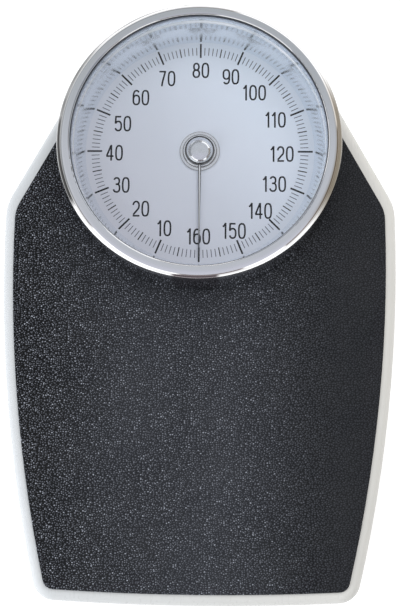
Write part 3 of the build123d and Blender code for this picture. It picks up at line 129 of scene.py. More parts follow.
# Places across the mat: where the painted glints have faded and are lively, where the painted shade
# on the rubber begins and is darkest, and how far from its middle the strip of painted sheen has
# ended and is full
GLINTS_FADE = (115.0 * MM, 20.0 * MM)
GLINTS_LEFT = (0.18, 1.0)
RIGHT_PAINTED_SHADE = (40.0 * MM, 130.0 * MM)
SHEEN_STRIP_MIDDLE = -10.0 * MM
SHEEN_STRIP_WIDTHS = (130.0 * MM, 20.0 * MM)

# How far the painted light on paint and dial card reaches to each side of the middle
PAINT_LIGHT_HALF = 150.0 * MM
CARD_LIGHT_HALF = 120.0 * MM

LENS_IOR = 1.35

# Springs: the heights of the end that stays on the base and of the end that moves
RETAINING_SPRING_ENDS = (8.0 * MM, 38.0 * MM)
MAIN_SPRING_ENDS = (37.5 * MM, 27.5 * MM)
MERGE_SPRING = 0.001 * MM
SPRING_SMOOTHING = math.radians(35)

# The room. A window is given by its middle, in degrees round from the right, and half its width.
# Heights are the upward parts of a direction: where walls and ceiling begin and are full.
WINDOWS = ((52, 26), (232, 24), (306, 10))
WINDOW_EDGE = 4
WALL_HEIGHTS = (0.28, 0.34)
CEILING_HEIGHTS = (0.46, 0.54)

# The floor: its glow where it is seen rises with the distance from the scale
FLOOR_SIZE = 12.0
FLOOR_DROP = 0.2 * MM
GLOW_DISTANCES = (0.3, 1.0)
GLOW_LEVELS = (0.45, 0.75)

# Lamps: name, place, side, power in watts and colour
LAMPS = (
    ("soft_box_upper_right", (0.5, 0.6, 1.5), 1.6, 15.5, (1.0, 0.99, 0.97)),
    ("soft_box_lower_left", (-1.4, -0.9, 0.45), 0.8, 18.0, (0.97, 0.98, 1.0)),
)
LAMP_TARGET = Vector((0.0, 0.0, 0.03))

# The camera of the photograph. Its reach is the nearest and the farthest that it sees, in metres.
CAMERA_PLACE = (0.01966, -0.13418, 0.8929)
CAMERA_PITCH = math.radians(-8.65)
CAMERA_YAW = math.radians(-1.25)
CAMERA_ROLL = math.radians(-0.56)
CAMERA_LENS = 66.05
CAMERA_SENSOR = 36.0
CAMERA_REACH = (0.01, 50.0)


# ---------------------------------------------------------------- shader tools

def plain(red, green, blue):
    """Three linear parts as the colour that a shader takes."""
    return (red, green, blue, 1.0)


def linear(red, green, blue):
    """An 8-bit screen colour as the linear colour that a shader takes."""
    def channel(value):
        share = value / 255
        return share / 12.92 if share <= 0.04045 else ((share + 0.055) / 1.055) ** 2.4
    return plain(channel(red), channel(green), channel(blue))


def darker(colour, share):
    return plain(*(share * part for part in colour[:3]))


def put(tree, kind, settings=None, inputs=None):
    """A new shader node with its settings made and its sockets set or linked."""
    made = tree.nodes.new(kind)
    for name, value in (settings or {}).items():
        setattr(made, name, value)
    feed(tree, made, inputs or {})
    return made


def feed(tree, node, values):
    """Sets a node's inputs, or links them where the value is another node's output."""
    for key, value in values.items():
        if isinstance(value, bpy.types.NodeSocket):
            tree.links.new(value, node.inputs[key])
        else:
            node.inputs[key].default_value = value


def maths(tree, operation, first, second=0.0, clamp=False):
    return put(tree, "ShaderNodeMath", {"operation": operation, "use_clamp": clamp},
               {0: first, 1: second}).outputs[0]


def less(tree, share, amount):
    """What is left of 1 when a mask takes an amount away."""
    return maths(tree, "SUBTRACT", 1.0, maths(tree, "MULTIPLY", share, amount))


def apart(tree, value, middle):
    """How far a value lies from a middle, to either side."""
    return maths(tree, "ABSOLUTE", maths(tree, "SUBTRACT", value, middle))


def between(tree, value, low, high, low_to=0.0, high_to=1.0, curve="SMOOTHSTEP"):
    """A value's way from low to high, as a way from low_to to high_to that is held at both ends."""
    return put(tree, "ShaderNodeMapRange", {"interpolation_type": curve}, {
        "Value": value, "From Min": low, "From Max": high,
        "To Min": low_to, "To Max": high_to}).outputs[0]


def ramp(tree, value, stops):
    """A colour ramp over value; stops are (place, colour) with colours or grey numbers."""
    made = put(tree, "ShaderNodeValToRGB", None, {0: value})
    elements = made.color_ramp.elements
    while len(elements) < len(stops):
        elements.new(0.5)
    for element, (place, colour) in zip(elements, stops):
        element.position = place
        element.color = colour if isinstance(colour, tuple) else plain(colour, colour, colour)
    return made.outputs[0]


def mix(tree, share, first, second, blend="MIX"):
    """Two colours mixed. A Mix node takes colours at inputs 6 and 7, and gives one at output 2."""
    made = put(tree, "ShaderNodeMix", {"data_type": "RGBA", "blend_type": blend},
               {0: share, 6: first, 7: second})
    return made.outputs[2]


def object_place(tree):
    return put(tree, "ShaderNodeTexCoord").outputs["Object"]


def part_of(tree, vector, index):
    """One part of a vector: 0 is across, 1 is back and 2 is up."""
    return put(tree, "ShaderNodeSeparateXYZ", None, {0: vector}).outputs[index]


def one_channel(tree, colour):
    return put(tree, "ShaderNodeSeparateColor", None, {0: colour}).outputs[0]


def vector_maths(tree, operation, *values):
    return put(tree, "ShaderNodeVectorMath", {"operation": operation}, dict(enumerate(values)))


def toward(tree, way, middle, full, ended):
    """A mask of the directions near a middle one, all in degrees round from the right."""
    aim = (math.cos(math.radians(middle)), math.sin(math.radians(middle)), 0.0)
    facing = vector_maths(tree, "DOT_PRODUCT", way, aim).outputs[1]
    return between(tree, facing, math.cos(math.radians(ended)), math.cos(math.radians(full)))


def noise(tree, place, scale, detail=3.0, roughness=0.5, distortion=0.0):
    return put(tree, "ShaderNodeTexNoise", None, {
        "Vector": place, "Scale": scale, "Detail": detail,
        "Roughness": roughness, "Distortion": distortion}).outputs[0]


def bump(tree, height, distance, strength):
    return put(tree, "ShaderNodeBump", None, {
        "Height": height, "Distance": distance, "Strength": strength}).outputs[0]


# ---------------------------------------------------------------- shared effects

def new_group(name, numbers_in, numbers_out):
    """A node group with named numbers in, each with its usual value, and named numbers out."""
    group = bpy.data.node_groups.new(name, "ShaderNodeTree")
    for label, value in numbers_in.items():
        made = group.interface.new_socket(label, in_out="INPUT", socket_type="NodeSocketFloat")
        made.default_value = value
    for label in numbers_out:
        group.interface.new_socket(label, in_out="OUTPUT", socket_type="NodeSocketFloat")
    inside = group.nodes.new("NodeGroupInput").outputs
    outside = group.nodes.new("NodeGroupOutput").inputs
    return group, inside, outside


def handling_marks():
    """Soft cloudiness and fine rubbed lines, as a handled surface has them."""
    group, inside, outside = new_group(
        "handling_marks", {"Cloud Size": 20.0, "Line Size": 400.0}, ["Cloud", "Lines"])
    place = object_place(group)
    cloud = noise(group, place, inside["Cloud Size"], 4.0, 0.6, 0.4)
    stretched = put(group, "ShaderNodeMapping", None, {
        "Vector": place, "Rotation": (0.3, 0.2, 0.7), "Scale": (1.0, 0.06, 1.0)})
    lines = noise(group, stretched.outputs[0], inside["Line Size"], 2.0, 0.7)
    group.links.new(cloud, outside["Cloud"])
    group.links.new(lines, outside["Lines"])
    return group


def settled_dust():
    """A thin film that gathers on faces that look up, in soft patches."""
    group, inside, outside = new_group("settled_dust", {"Amount": 0.1}, ["Mask"])
    up = part_of(group, put(group, "ShaderNodeNewGeometry").outputs["Normal"], 2)
    facing = maths(group, "MULTIPLY", maths(group, "MAXIMUM", up, 0.0), inside["Amount"])
    patches = ramp(group, noise(group, object_place(group), 28.0, 6.0, 0.65),
                   [(0.3, 0.2), (0.7, 1.0)])
    group.links.new(maths(group, "MULTIPLY", facing, patches, True), outside["Mask"])
    return group


MARKS = handling_marks()
DUST = settled_dust()
DUST_COLOUR = plain(0.45, 0.44, 0.42)


def marks(tree, cloud_size, line_size=400.0):
    """The masks of the handling marks: cloud and lines."""
    made = put(tree, "ShaderNodeGroup", {"node_tree": MARKS},
               {"Cloud Size": cloud_size, "Line Size": line_size})
    return made.outputs["Cloud"], made.outputs["Lines"]


def dusted(tree, colour, amount):
    made = put(tree, "ShaderNodeGroup", {"node_tree": DUST}, {"Amount": amount})
    return mix(tree, made.outputs["Mask"], colour, DUST_COLOUR)


def new_finish(name):
    material = bpy.data.materials.new(name)
    material.use_nodes = True
    tree = material.node_tree
    return material, tree, tree.nodes["Principled BSDF"]


# ---------------------------------------------------------------- finishes

def pebbled_rubber():
    """The black tread mat: close pebbles with painted shade in the creases between them and painted
    glints on some of their tops, and a painted sheen on a strip down the middle.
    Towards the right the painted glints fade and painted shade darkens the rubber."""
    material, tree, shader = new_finish("pebbled_rubber")
    place = object_place(tree)
    wobble = put(tree, "ShaderNodeTexNoise", None, {
        "Vector": place, "Scale": WOBBLES_PER_METRE, "Detail": 2.0}).outputs["Color"]
    shifted = vector_maths(tree, "MULTIPLY_ADD", wobble,
                           (PEBBLE_WOBBLE, PEBBLE_WOBBLE, 0.0), place).outputs[0]
    flat = put(tree, "ShaderNodeMapping", None,
               {"Vector": shifted, "Scale": (1.0, PEBBLE_SQUEEZE, 1.0)}).outputs[0]
    grain = {"Vector": flat, "Scale": PEBBLES_PER_METRE}
    edges = put(tree, "ShaderNodeTexVoronoi",
                {"feature": "DISTANCE_TO_EDGE", "voronoi_dimensions": "2D"}, grain)
    cells = put(tree, "ShaderNodeTexVoronoi", {"voronoi_dimensions": "2D"}, grain)
    tops = ramp(tree, edges.outputs["Distance"], [(0.0, 0.0), (0.12, 0.5), (0.4, 1.0)])
    chance = one_channel(tree, cells.outputs["Color"])
    # Painted glints: bright spots in the middle of some pebbles
    painted_glints = maths(tree, "MULTIPLY",
                 ramp(tree, cells.outputs["Distance"], [(0.06, 1.0), (0.52, 0.0)]),
                 ramp(tree, chance, [(0.0, 0.3), (0.5, 0.55), (0.88, 0.7), (1.0, 1.25)]))
    shade = maths(tree, "ADD", maths(tree, "MULTIPLY", tops, 0.3),
                  maths(tree, "MULTIPLY", painted_glints, 0.7))
    across = part_of(tree, place, 0)
    lively = between(tree, across, *GLINTS_FADE, *GLINTS_LEFT)
    level = put(tree, "ShaderNodeMath", {"operation": "MULTIPLY_ADD", "use_clamp": True}, {
        0: maths(tree, "SUBTRACT", shade, PEBBLE_MEAN), 1: lively, 2: PEBBLE_MEAN}).outputs[0]
    # Painted light and shade: near black in the creases, up to pale painted glints on the tops
    crease_shade_and_glints = ramp(tree, level, [(0.0, linear(0, 0, 1)), (0.3, linear(12, 14, 17)),
                                 (0.55, linear(86, 89, 97)), (1.0, linear(182, 188, 200))])
    cloud, _ = marks(tree, 9.0)
    # Painted sheen: a lighter strip down the middle of the mat, in soft patches
    strip = between(tree, apart(tree, across, SHEEN_STRIP_MIDDLE), *SHEEN_STRIP_WIDTHS)
    rubbed = maths(tree, "MULTIPLY", ramp(tree, cloud, [(0.3, 0.2), (0.75, 0.4)]), strip, True)
    sheen_and_shade = mix(tree, rubbed, crease_shade_and_glints, linear(72, 75, 83))
    # Painted shade: the rubber darker towards the right
    painted_right_shade = between(tree, across, *RIGHT_PAINTED_SHADE)
    sheen_and_shade = mix(tree, painted_right_shade, sheen_and_shade, plain(0.6, 0.6, 0.6), "MULTIPLY")
    pores = maths(tree, "MULTIPLY", noise(tree, place, 2600.0, 2.0), 0.2)
    feed(tree, shader, {
        "Base Color": dusted(tree, sheen_and_shade, 0.015),
        "Roughness": ramp(tree, chance, [(0.0, 0.6), (1.0, 0.42)]),
        "Specular IOR Level": 0.14,
        "Normal": bump(tree, maths(tree, "ADD", pores, tops), 0.25 * MM, 0.8)})
    return material


def stove_paint(name, warm, cool):
    """Sprayed and baked paint with a faint orange peel, and painted light: darker and cooler on the
    left, lighter and warmer on the right.
    """
    material, tree, shader = new_finish(name)
    place = object_place(tree)
    side = between(tree, part_of(tree, place, 0), -PAINT_LIGHT_HALF, PAINT_LIGHT_HALF,
                   curve="LINEAR")
    cloud, lines = marks(tree, 14.0, 500.0)
    # Painted light: the cool tone stands for the dimmer light on the left, the warm tone for the
    # brighter light on the right
    shaded = mix(tree, ramp(tree, cloud, [(0.3, 0.0), (0.8, 0.25)]),
                 mix(tree, side, cool, warm), darker(warm, 0.82))
    feed(tree, shader, {
        "Base Color": dusted(tree, shaded, 0.04),
        "Roughness": ramp(tree, lines, [(0.3, 0.24), (0.7, 0.38)]),
        "Normal": bump(tree, noise(tree, place, 700.0, 2.0), 0.05 * MM, 0.5)})
    return material


def movement_brass():
    """Brass with a faint cloudiness in the tint and hairlines in the polish."""
    material, tree, shader = new_finish("brass")
    tint = linear(214, 178, 110)
    cloud, lines = marks(tree, 40.0, 900.0)
    feed(tree, shader, {
        "Base Color": mix(tree, ramp(tree, cloud, [(0.3, 0.0), (0.8, 1.0)]),
                          tint, darker(tint, 0.9)),
        "Metallic": 1.0,
        "Roughness": ramp(tree, lines, [(0.3, 0.2), (0.75, 0.34)])})
    return material


def bright_wall():
    """The bright inner wall round the dial: it mirrors the printing softly, and a pale patchy
    ring of painted highlight runs round it."""
    material, tree, shader = new_finish("bright_surround")
    place = object_place(tree)
    away = apart(tree, part_of(tree, place, 2), HIGHLIGHT_RING_HEIGHT)
    patchy = ramp(tree, noise(tree, place, 14.0, 3.0, 0.6), [(0.35, 0.35), (0.6, 0.95)])
    # Painted highlight: a pale, less metallic ring round the wall
    ring = maths(tree, "MULTIPLY",
                 between(tree, away, HIGHLIGHT_RING_HALF, 0.4 * HIGHLIGHT_RING_HALF), patchy)
    cloud, lines = marks(tree, 40.0, 900.0)
    plate = mix(tree, cloud, plain(0.93, 0.965, 1.0), plain(0.86, 0.895, 0.93))
    feed(tree, shader, {
        "Base Color": mix(tree, ring, plate, plain(0.97, 0.985, 1.0)),
        "Metallic": less(tree, ring, 0.9),
        "Roughness": ramp(tree, lines, [(0.3, 0.14), (0.75, 0.28)])})
    return material


def around_dial(tree):
    """The distance from the dial's axis, and the level direction from it."""
    flat = vector_maths(tree, "MULTIPLY_ADD", object_place(tree), (1.0, 1.0, 0.0),
                        (-DIAL_CENTRE.x, -DIAL_CENTRE.y, 0.0)).outputs[0]
    return (vector_maths(tree, "LENGTH", flat).outputs[1],
            vector_maths(tree, "NORMALIZE", flat).outputs[0])


def bezel_plating(tree, out, way, cloud):
    """The tint of the bezel's chrome, with painted reflections of the room in it. Its level band is
    greyer at the rear.
    Its shoulder is bright, but dull on the left, brown on the right and dark for a short stretch at
    the front, all painted reflections.
    Its lip has painted shade on the left and at the front on the right."""
    bright = plain(0.9, 0.9, 0.91)
    front_band = mix(tree, cloud, plain(0.84, 0.84, 0.86), plain(0.78, 0.785, 0.81))
    # Painted reflection: the band greyer at the rear
    band = mix(tree, between(tree, part_of(tree, way, 1), -0.2, 0.6),
               front_band, plain(0.67, 0.68, 0.685))
    # Painted reflections on the shoulder: brown on the right, dull on the left, dark at the front
    brown = mix(tree, between(tree, out, *BROWN_REFLECTION_ZONE),
                plain(0.5, 0.45, 0.39), plain(0.17, 0.145, 0.11))
    dull = mix(tree, between(tree, out, *DULL_REFLECTION_ZONE),
               plain(0.95, 0.95, 0.96), plain(0.37, 0.375, 0.38))
    front = mix(tree, between(tree, out, *DARK_REFLECTION_ZONE), bright, plain(0.1, 0.08, 0.09))
    front = mix(tree, between(tree, out, *PALE_REFLECTION_ZONE), front, plain(0.42, 0.39, 0.4))
    shoulder = mix(tree, toward(tree, way, *DULL_REFLECTION_SIDE), bright, dull)
    shoulder = mix(tree, toward(tree, way, *BROWN_REFLECTION_SIDE), shoulder, brown)
    shoulder = mix(tree, toward(tree, way, *FRONT_REFLECTION_SIDE), shoulder, front)
    plated = mix(tree, between(tree, out, *SHOULDER_ZONE), band, shoulder)
    # Painted shade on the lip, to the left and at the front on the right
    lip_shade_sides = maths(tree, "MAXIMUM", toward(tree, way, *LEFT_LIP_SHADE_SIDE),
                      toward(tree, way, *FRONT_LIP_SHADE_SIDE))
    lip = maths(tree, "MULTIPLY", between(tree, out, *LIP_SHADE_ZONE), lip_shade_sides)
    return mix(tree, lip, plated, plain(0.4, 0.42, 0.46))


def bezel_chrome():
    """Chrome on the bezel, with a thin dark line of painted reflection round its left side that is
    broken at the rear.
    """
    material, tree, shader = new_finish("bezel_chrome")
    place = object_place(tree)
    out, way = around_dial(tree)
    cloud, lines = marks(tree, 40.0, 900.0)
    plated = bezel_plating(tree, out, way, cloud)
    # The dark line of painted reflection: full round the left, patchy at the rear
    patchy = ramp(tree, noise(tree, way, 2.3, 2.0, 0.6), [(0.38, 0.3), (0.55, 0.7)])
    broken = maths(tree, "MULTIPLY", patchy, toward(tree, way, *BROKEN_REFLECTED_LINE_SIDE))
    depth = maths(tree, "MAXIMUM", toward(tree, way, *REFLECTED_LINE_SIDE), broken)
    line = between(tree, apart(tree, out, REFLECTED_LINE_RADIUS),
                   0.6 * REFLECTED_LINE_HALF, 1.15 * REFLECTED_LINE_HALF, 1.0, 0.0)
    raised = between(tree, part_of(tree, place, 2), *REFLECTED_LINE_HEIGHTS)
    dark_line_reflection = maths(tree, "MULTIPLY", maths(tree, "MULTIPLY", line, depth), raised)
    feed(tree, shader, {
        "Base Color": mix(tree, dark_line_reflection, plated, linear(12, 13, 14)),
        "Metallic": less(tree, dark_line_reflection, 0.6),
        "Roughness": ramp(tree, lines, [(0.3, 0.04), (0.75, 0.11)]),
        "Normal": bump(tree, noise(tree, place, 55.0, 1.0), 0.02 * MM, 0.4)})
    return material


def hub_chrome():
    """Chrome on the pointer's hub, with painted shade in dark lines at its steps."""
    material, tree, shader = new_finish("hub_chrome")
    out, _ = around_dial(tree)
    shade_rings = [between(tree, apart(tree, out, radius), 0.6 * half, 1.2 * half, depth, 0.0)
             for radius, half, depth in HUB_SHADE_LINES]
    darkest = shade_rings[0]
    for ring in shade_rings[1:]:
        darkest = maths(tree, "MAXIMUM", darkest, ring)
    cloud, lines = marks(tree, 160.0, 2200.0)
    # Painted shade at the steps, patchy with the cloud
    dark = maths(tree, "MULTIPLY", darkest, ramp(tree, cloud, [(0.2, 0.75), (0.6, 1.0)]))
    metal = mix(tree, cloud, plain(0.84, 0.84, 0.86), plain(0.74, 0.75, 0.78))
    feed(tree, shader, {
        "Base Color": mix(tree, dark, metal, linear(16, 17, 22)),
        "Metallic": less(tree, dark, 0.9),
        "Roughness": ramp(tree, lines, [(0.3, 0.05), (0.75, 0.13)])})
    return material


def clear_lens():
    """Clear glass that lets the lamps' light pass to the dial as straight shadow rays."""
    material, tree, shader = new_finish("clear_lens")
    cloud, lines = marks(tree, 30.0, 800.0)
    feed(tree, shader, {
        "Base Color": mix(tree, ramp(tree, cloud, [(0.3, 0.0), (0.8, 0.5)]),
                          plain(1.0, 1.0, 1.0), linear(251, 253, 254)),
        "Roughness": ramp(tree, lines, [(0.3, 0.0), (0.8, 0.03)]),
        "IOR": LENS_IOR,
        "Transmission Weight": 1.0})
    passing = put(tree, "ShaderNodeBsdfTransparent", None, {0: plain(0.99, 0.99, 0.99)})
    shadow = put(tree, "ShaderNodeLightPath").outputs["Is Shadow Ray"]
    both = put(tree, "ShaderNodeMixShader", None,
               {0: shadow, 1: shader.outputs[0], 2: passing.outputs[0]})
    tree.links.new(both.outputs[0], tree.nodes["Material Output"].inputs[0])
    return material


def dial_card():
    """The pale blue-grey dial plate, with painted light: darker to the lower left, brighter and
    bluer to the upper right.
    """
    material, tree, shader = new_finish("dial_card")
    place = object_place(tree)
    # Painted light: a tone from a darker lower left to a brighter, bluer upper right
    painted_light_slope = maths(tree, "ADD", part_of(tree, place, 0),
                  maths(tree, "SUBTRACT", part_of(tree, place, 1), DIAL_CENTRE.y))
    share = between(tree, painted_light_slope, -CARD_LIGHT_HALF, CARD_LIGHT_HALF, curve="LINEAR")
    cloud, lines = marks(tree, 12.0, 700.0)
    tone = mix(tree, share, linear(205, 207, 220), linear(227, 238, 253))
    feed(tree, shader, {
        "Base Color": mix(tree, ramp(tree, cloud, [(0.35, 0.0), (0.75, 0.3)]),
                          tone, linear(216, 221, 236)),
        "Roughness": ramp(tree, lines, [(0.3, 0.42), (0.7, 0.55)]),
        "Normal": bump(tree, noise(tree, place, 1500.0, 2.0), 0.01 * MM, 0.4)})
    return material


def printing_ink(name, colour, worn_colour):
    """Dark screen ink, slightly uneven where it is laid thin."""
    material, tree, shader = new_finish(name)
    cloud, lines = marks(tree, 300.0, 1500.0)
    feed(tree, shader, {
        "Base Color": mix(tree, ramp(tree, cloud, [(0.4, 0.0), (0.8, 1.0)]), colour, worn_colour),
        "Roughness": ramp(tree, lines, [(0.3, 0.4), (0.7, 0.55)]),
        "Specular IOR Level": 0.1})
    return material


def needle_finish():
    """A bright pressed needle with painted dark reflections along both edges, down to a dark point.
    """
    material, tree, shader = new_finish("needle_metal")
    place = object_place(tree)
    back = part_of(tree, place, 1)
    half_width = between(tree, back, DIAL_CENTRE.y, DIAL_CENTRE.y - NEEDLE_LENGTH,
                         NEEDLE_ROOT_HALF, NEEDLE_TIP_HALF, "LINEAR")
    across = maths(tree, "DIVIDE", maths(tree, "ABSOLUTE", part_of(tree, place, 0)), half_width)
    # Painted reflection: both edges of the needle dark
    edge_reflection = between(tree, across, *NEEDLE_EDGE_REFLECTION)
    point = between(tree, back, *(DIAL_CENTRE.y - share * NEEDLE_LENGTH for share in NEEDLE_POINT))
    cloud, lines = marks(tree, 200.0, 1500.0)
    bright = mix(tree, cloud, linear(206, 208, 214), linear(232, 233, 236))
    feed(tree, shader, {
        "Base Color": mix(tree, maths(tree, "MAXIMUM", edge_reflection, point), bright, linear(40, 42, 52)),
        "Metallic": 0.2,
        "Roughness": ramp(tree, lines, [(0.3, 0.3), (0.7, 0.42)])})
    return material


def moulded(name, light, dark, smooth, rough, grain_scale, grain_depth):
    """Moulded rubber or plastic with a fine tool grain."""
    material, tree, shader = new_finish(name)
    cloud, lines = marks(tree, 60.0, 700.0)
    grain = noise(tree, object_place(tree), grain_scale, 2.0)
    feed(tree, shader, {
        "Base Color": dusted(tree, mix(tree, cloud, light, dark), 0.08),
        "Roughness": ramp(tree, lines, [(0.3, smooth), (0.7, rough)]),
        "Normal": bump(tree, grain, grain_depth, 0.6)})
    return material


def zinc_plate():
    """Zinc-plated steel: soft crystal patches, rolling lines and a little dullness."""
    material, tree, shader = new_finish("zinc_plate")
    crystals = put(tree, "ShaderNodeTexVoronoi", None,
                   {"Vector": object_place(tree), "Scale": 160.0})
    tone = one_channel(tree, crystals.outputs["Color"])
    cloud, lines = marks(tree, 30.0, 900.0)
    base = mix(tree, tone, linear(172, 175, 180), linear(200, 203, 206))
    feed(tree, shader, {
        "Base Color": mix(tree, ramp(tree, cloud, [(0.4, 0.0), (0.8, 0.5)]),
                          base, linear(150, 150, 150)),
        "Metallic": 1.0,
        "Roughness": ramp(tree, lines, [(0.25, 0.24), (0.75, 0.42)]),
        "Normal": bump(tree, lines, 0.01 * MM, 0.4)})
    return material


INK = printing_ink("dial_ink", linear(6, 8, 18), linear(16, 18, 30))
THIN_INK = printing_ink("dial_ink_thin", linear(64, 68, 84), linear(84, 88, 104))
ZINC = zinc_plate()

WHITE_PAINT = stove_paint(
    "white_stove_paint", warm=linear(217, 216, 212), cool=linear(197, 201, 205))
GREY_PAINT = stove_paint(
    "grey_stove_paint", warm=linear(176, 177, 178), cool=linear(170, 173, 178))
FOOT_RUBBER = moulded(
    "foot_rubber", linear(40, 40, 42), linear(28, 28, 30),
    smooth=0.6, rough=0.75, grain_scale=1800.0, grain_depth=0.05 * MM)
GASKET_RUBBER = moulded(
    "gasket_rubber", linear(190, 199, 212), linear(176, 186, 202),
    smooth=0.4, rough=0.55, grain_scale=1800.0, grain_depth=0.03 * MM)
# The lens seal: a dark ring where the lip meets the lens, in place of the shadow line there;
# painted shade
SHADE_LINE_SEAL = moulded(
    "shade_line_seal_rubber", linear(38, 42, 52), linear(28, 31, 40),
    smooth=0.5, rough=0.65, grain_scale=2600.0, grain_depth=0.03 * MM)
BLACK_PLASTIC = moulded(
    "black_plastic", linear(34, 34, 36), linear(24, 24, 26),
    smooth=0.35, rough=0.5, grain_scale=2400.0, grain_depth=0.03 * MM)

# Every piece that isn't named here is zinc-plated steel
finish_of = {
    WHITE_PAINT: ["platform_cover", "base_tray"],
    GREY_PAINT: ["dial_housing"],
    pebbled_rubber(): ["tread_mat"],
    bezel_chrome(): ["bezel_ring"],
    hub_chrome(): ["hub_cap", "hub_ring"],
    bright_wall(): ["dial_surround"],
    movement_brass(): ["shaft_bushings", "pinion_shaft", "rack", "hair_spring"],
    clear_lens(): ["dial_lens"],
    dial_card(): ["dial_plate"],
    needle_finish(): ["pointer_needle"],
    FOOT_RUBBER: ["rubber_feet"],
    GASKET_RUBBER: ["lens_gasket"],
    SHADE_LINE_SEAL: ["lens_seal"],
    BLACK_PLASTIC: ["zero_knob"],
}
chosen = {name: material for material, names in finish_of.items() for name in names}
for name, part in nodes.items():
    part.data.materials.clear()
    part.data.materials.append(chosen.get(name, ZINC))


# ---------------------------------------------------------------- modelling tools

def choose(*pieces):
    """Selects these pieces and nothing else, and makes the first of them the active one."""
    if bpy.context.mode != "OBJECT":
        bpy.ops.object.mode_set(mode="OBJECT")
    bpy.ops.object.select_all(action="DESELECT")
    for piece in pieces:
        piece.select_set(True)
    if pieces:
        bpy.context.view_layer.objects.active = pieces[0]


def open_mesh(piece):
    """Goes into edit mode on a piece, with all of its mesh selected."""
    choose(piece)
    bpy.ops.object.mode_set(mode="EDIT")
    bpy.ops.mesh.select_all(action="SELECT")


def close_mesh():
    """Turns all faces outwards and leaves edit mode."""
    bpy.ops.mesh.select_all(action="SELECT")
    bpy.ops.mesh.normals_make_consistent(inside=False)
    bpy.ops.object.mode_set(mode="OBJECT")


def settle(piece):
    """Puts the piece's place into its mesh, so that its object sits at the origin."""
    piece.data.transform(piece.matrix_world)
    piece.matrix_world = Matrix.Identity(4)
    bpy.context.view_layer.update()


def join(pieces, name):
    choose(*pieces)
    if len(pieces) > 1:
        bpy.ops.object.join()
    pieces[0].name = name
    return pieces[0]


def add_object(name, data):
    made = bpy.data.objects.new(name, data)
    bpy.context.scene.collection.objects.link(made)
    return made


# ---------------------------------------------------------------- the dial's printing

def tick_block(turn, outer, length, width):
    """One printed tick at an angle clockwise from the bottom of the dial."""
    choose()
    bpy.ops.mesh.primitive_plane_add(size=1.0, location=(0.0, 0.0, 0.0))
    tick = bpy.context.active_object
    tick.scale = (width, length, 1.0)
    bpy.ops.object.transform_apply(location=False, rotation=False, scale=True)
    open_mesh(tick)
    bpy.ops.mesh.bevel(offset=width * TICK_CORNER, segments=1, affect="VERTICES")
    bpy.ops.mesh.select_all(action="SELECT")
    bpy.ops.mesh.extrude_region_move(
        TRANSFORM_OT_translate={"value": (0.0, 0.0, PRINT_SUNK + PRINT_PROUD)})
    close_mesh()
    tick.matrix_world = (
        Matrix.Translation((DIAL_CENTRE.x, DIAL_CENTRE.y, DIAL_FACE - PRINT_SUNK))
        @ Matrix.Rotation(-turn, 4, "Z")
        @ Matrix.Translation((0.0, length / 2 - outer, 0.0)))
    settle(tick)
    return tick


def tick_ring(name, firsts, count, size, ink):
    """Ticks at the first angles, which stand count times in all round the dial."""
    step = 2 * math.pi / count
    ring = join([tick_block(turn, *size) for turn in firsts], name)
    open_mesh(ring)
    bpy.ops.mesh.spin(steps=count - 1, dupli=True, angle=step * (count - 1),
                      center=(DIAL_CENTRE.x, DIAL_CENTRE.y, 0.0), axis=(0.0, 0.0, 1.0))
    close_mesh()
    ring.data.materials.clear()
    ring.data.materials.append(ink)
    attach(ring, "base")


kilogram = 2 * math.pi / DIVISIONS
tens, fives = DIVISIONS // 10, DIVISIONS // 5
tick_ring("dial_ticks_ten", [0.0], tens, TEN_TICK, INK)
tick_ring("dial_ticks_five", [5 * kilogram], tens, FIVE_TICK, INK)
tick_ring("dial_ticks_one", [k * kilogram for k in (1, 2, 3, 4)], fives, ONE_TICK, THIN_INK)


def oval(centre_y, half_width, half_height, first=0.0, last=360.0, square=2.5, count=28):
    """Points round a squarish oval, with angles in degrees anticlockwise from the right."""
    points = []
    for index in range(count + 1):
        angle = math.radians(first + (last - first) * index / count)
        across, up = (math.copysign(abs(part) ** (2 / square), part)
                      for part in (math.cos(angle), math.sin(angle)))
        points.append((half_width * across, centre_y + half_height * up))
    return points


def digit_strokes():
    """The middle lines of the narrow digits in a box one unit wide and high: (points, closed)."""
    six = [(oval(-0.17, 0.5, 0.33)[:-1], True),
           ([(-0.5, -0.17), (-0.5, 0.06)] + oval(0.06, 0.5, 0.44, 180.0, 42.0, 2.5, 14), False)]
    return {
        "0": [(oval(0.0, 0.5, 0.5, square=2.8)[:-1], True)],
        "1": [([(0.12, -0.56), (0.12, 0.56)], False),
              ([(0.06, 0.5), (-0.1, 0.36), (-0.34, 0.29)], False)],
        "2": [(oval(0.2, 0.48, 0.3, 172.0, 0.0, 2.3, 14) + [(0.4, 0.02), (-0.46, -0.42)], False),
              ([(-0.54, -0.5), (0.56, -0.5)], False)],
        "3": [(oval(0.27, 0.43, 0.23, 160.0, -90.0, 2.3, 18), False),
              (oval(-0.22, 0.5, 0.28, 90.0, -165.0, 2.4, 20), False),
              ([(-0.16, 0.05), (0.08, 0.05)], False)],
        "4": [([(0.16, 0.52), (-0.52, -0.22)], False), ([(-0.6, -0.24), (0.6, -0.24)], False),
              ([(0.22, 0.56), (0.22, -0.56)], False)],
        "5": [([(-0.46, 0.5), (0.46, 0.5)], False), ([(-0.4, 0.54), (-0.47, 0.0)], False),
              (oval(-0.17, 0.5, 0.33, 150.0, -158.0, 2.4, 24), False)],
        "6": six,
        "7": [([(-0.54, 0.5), (0.54, 0.5)], False),
              ([(0.46, 0.52), (0.22, 0.12), (0.0, -0.26), (-0.1, -0.56)], False)],
        "8": [(oval(0.26, 0.42, 0.24, square=2.2)[:-1], True),
              (oval(-0.24, 0.5, 0.26, square=2.3)[:-1], True)],
        "9": [([(-x, -y) for x, y in points], closed) for points, closed in six],
    }


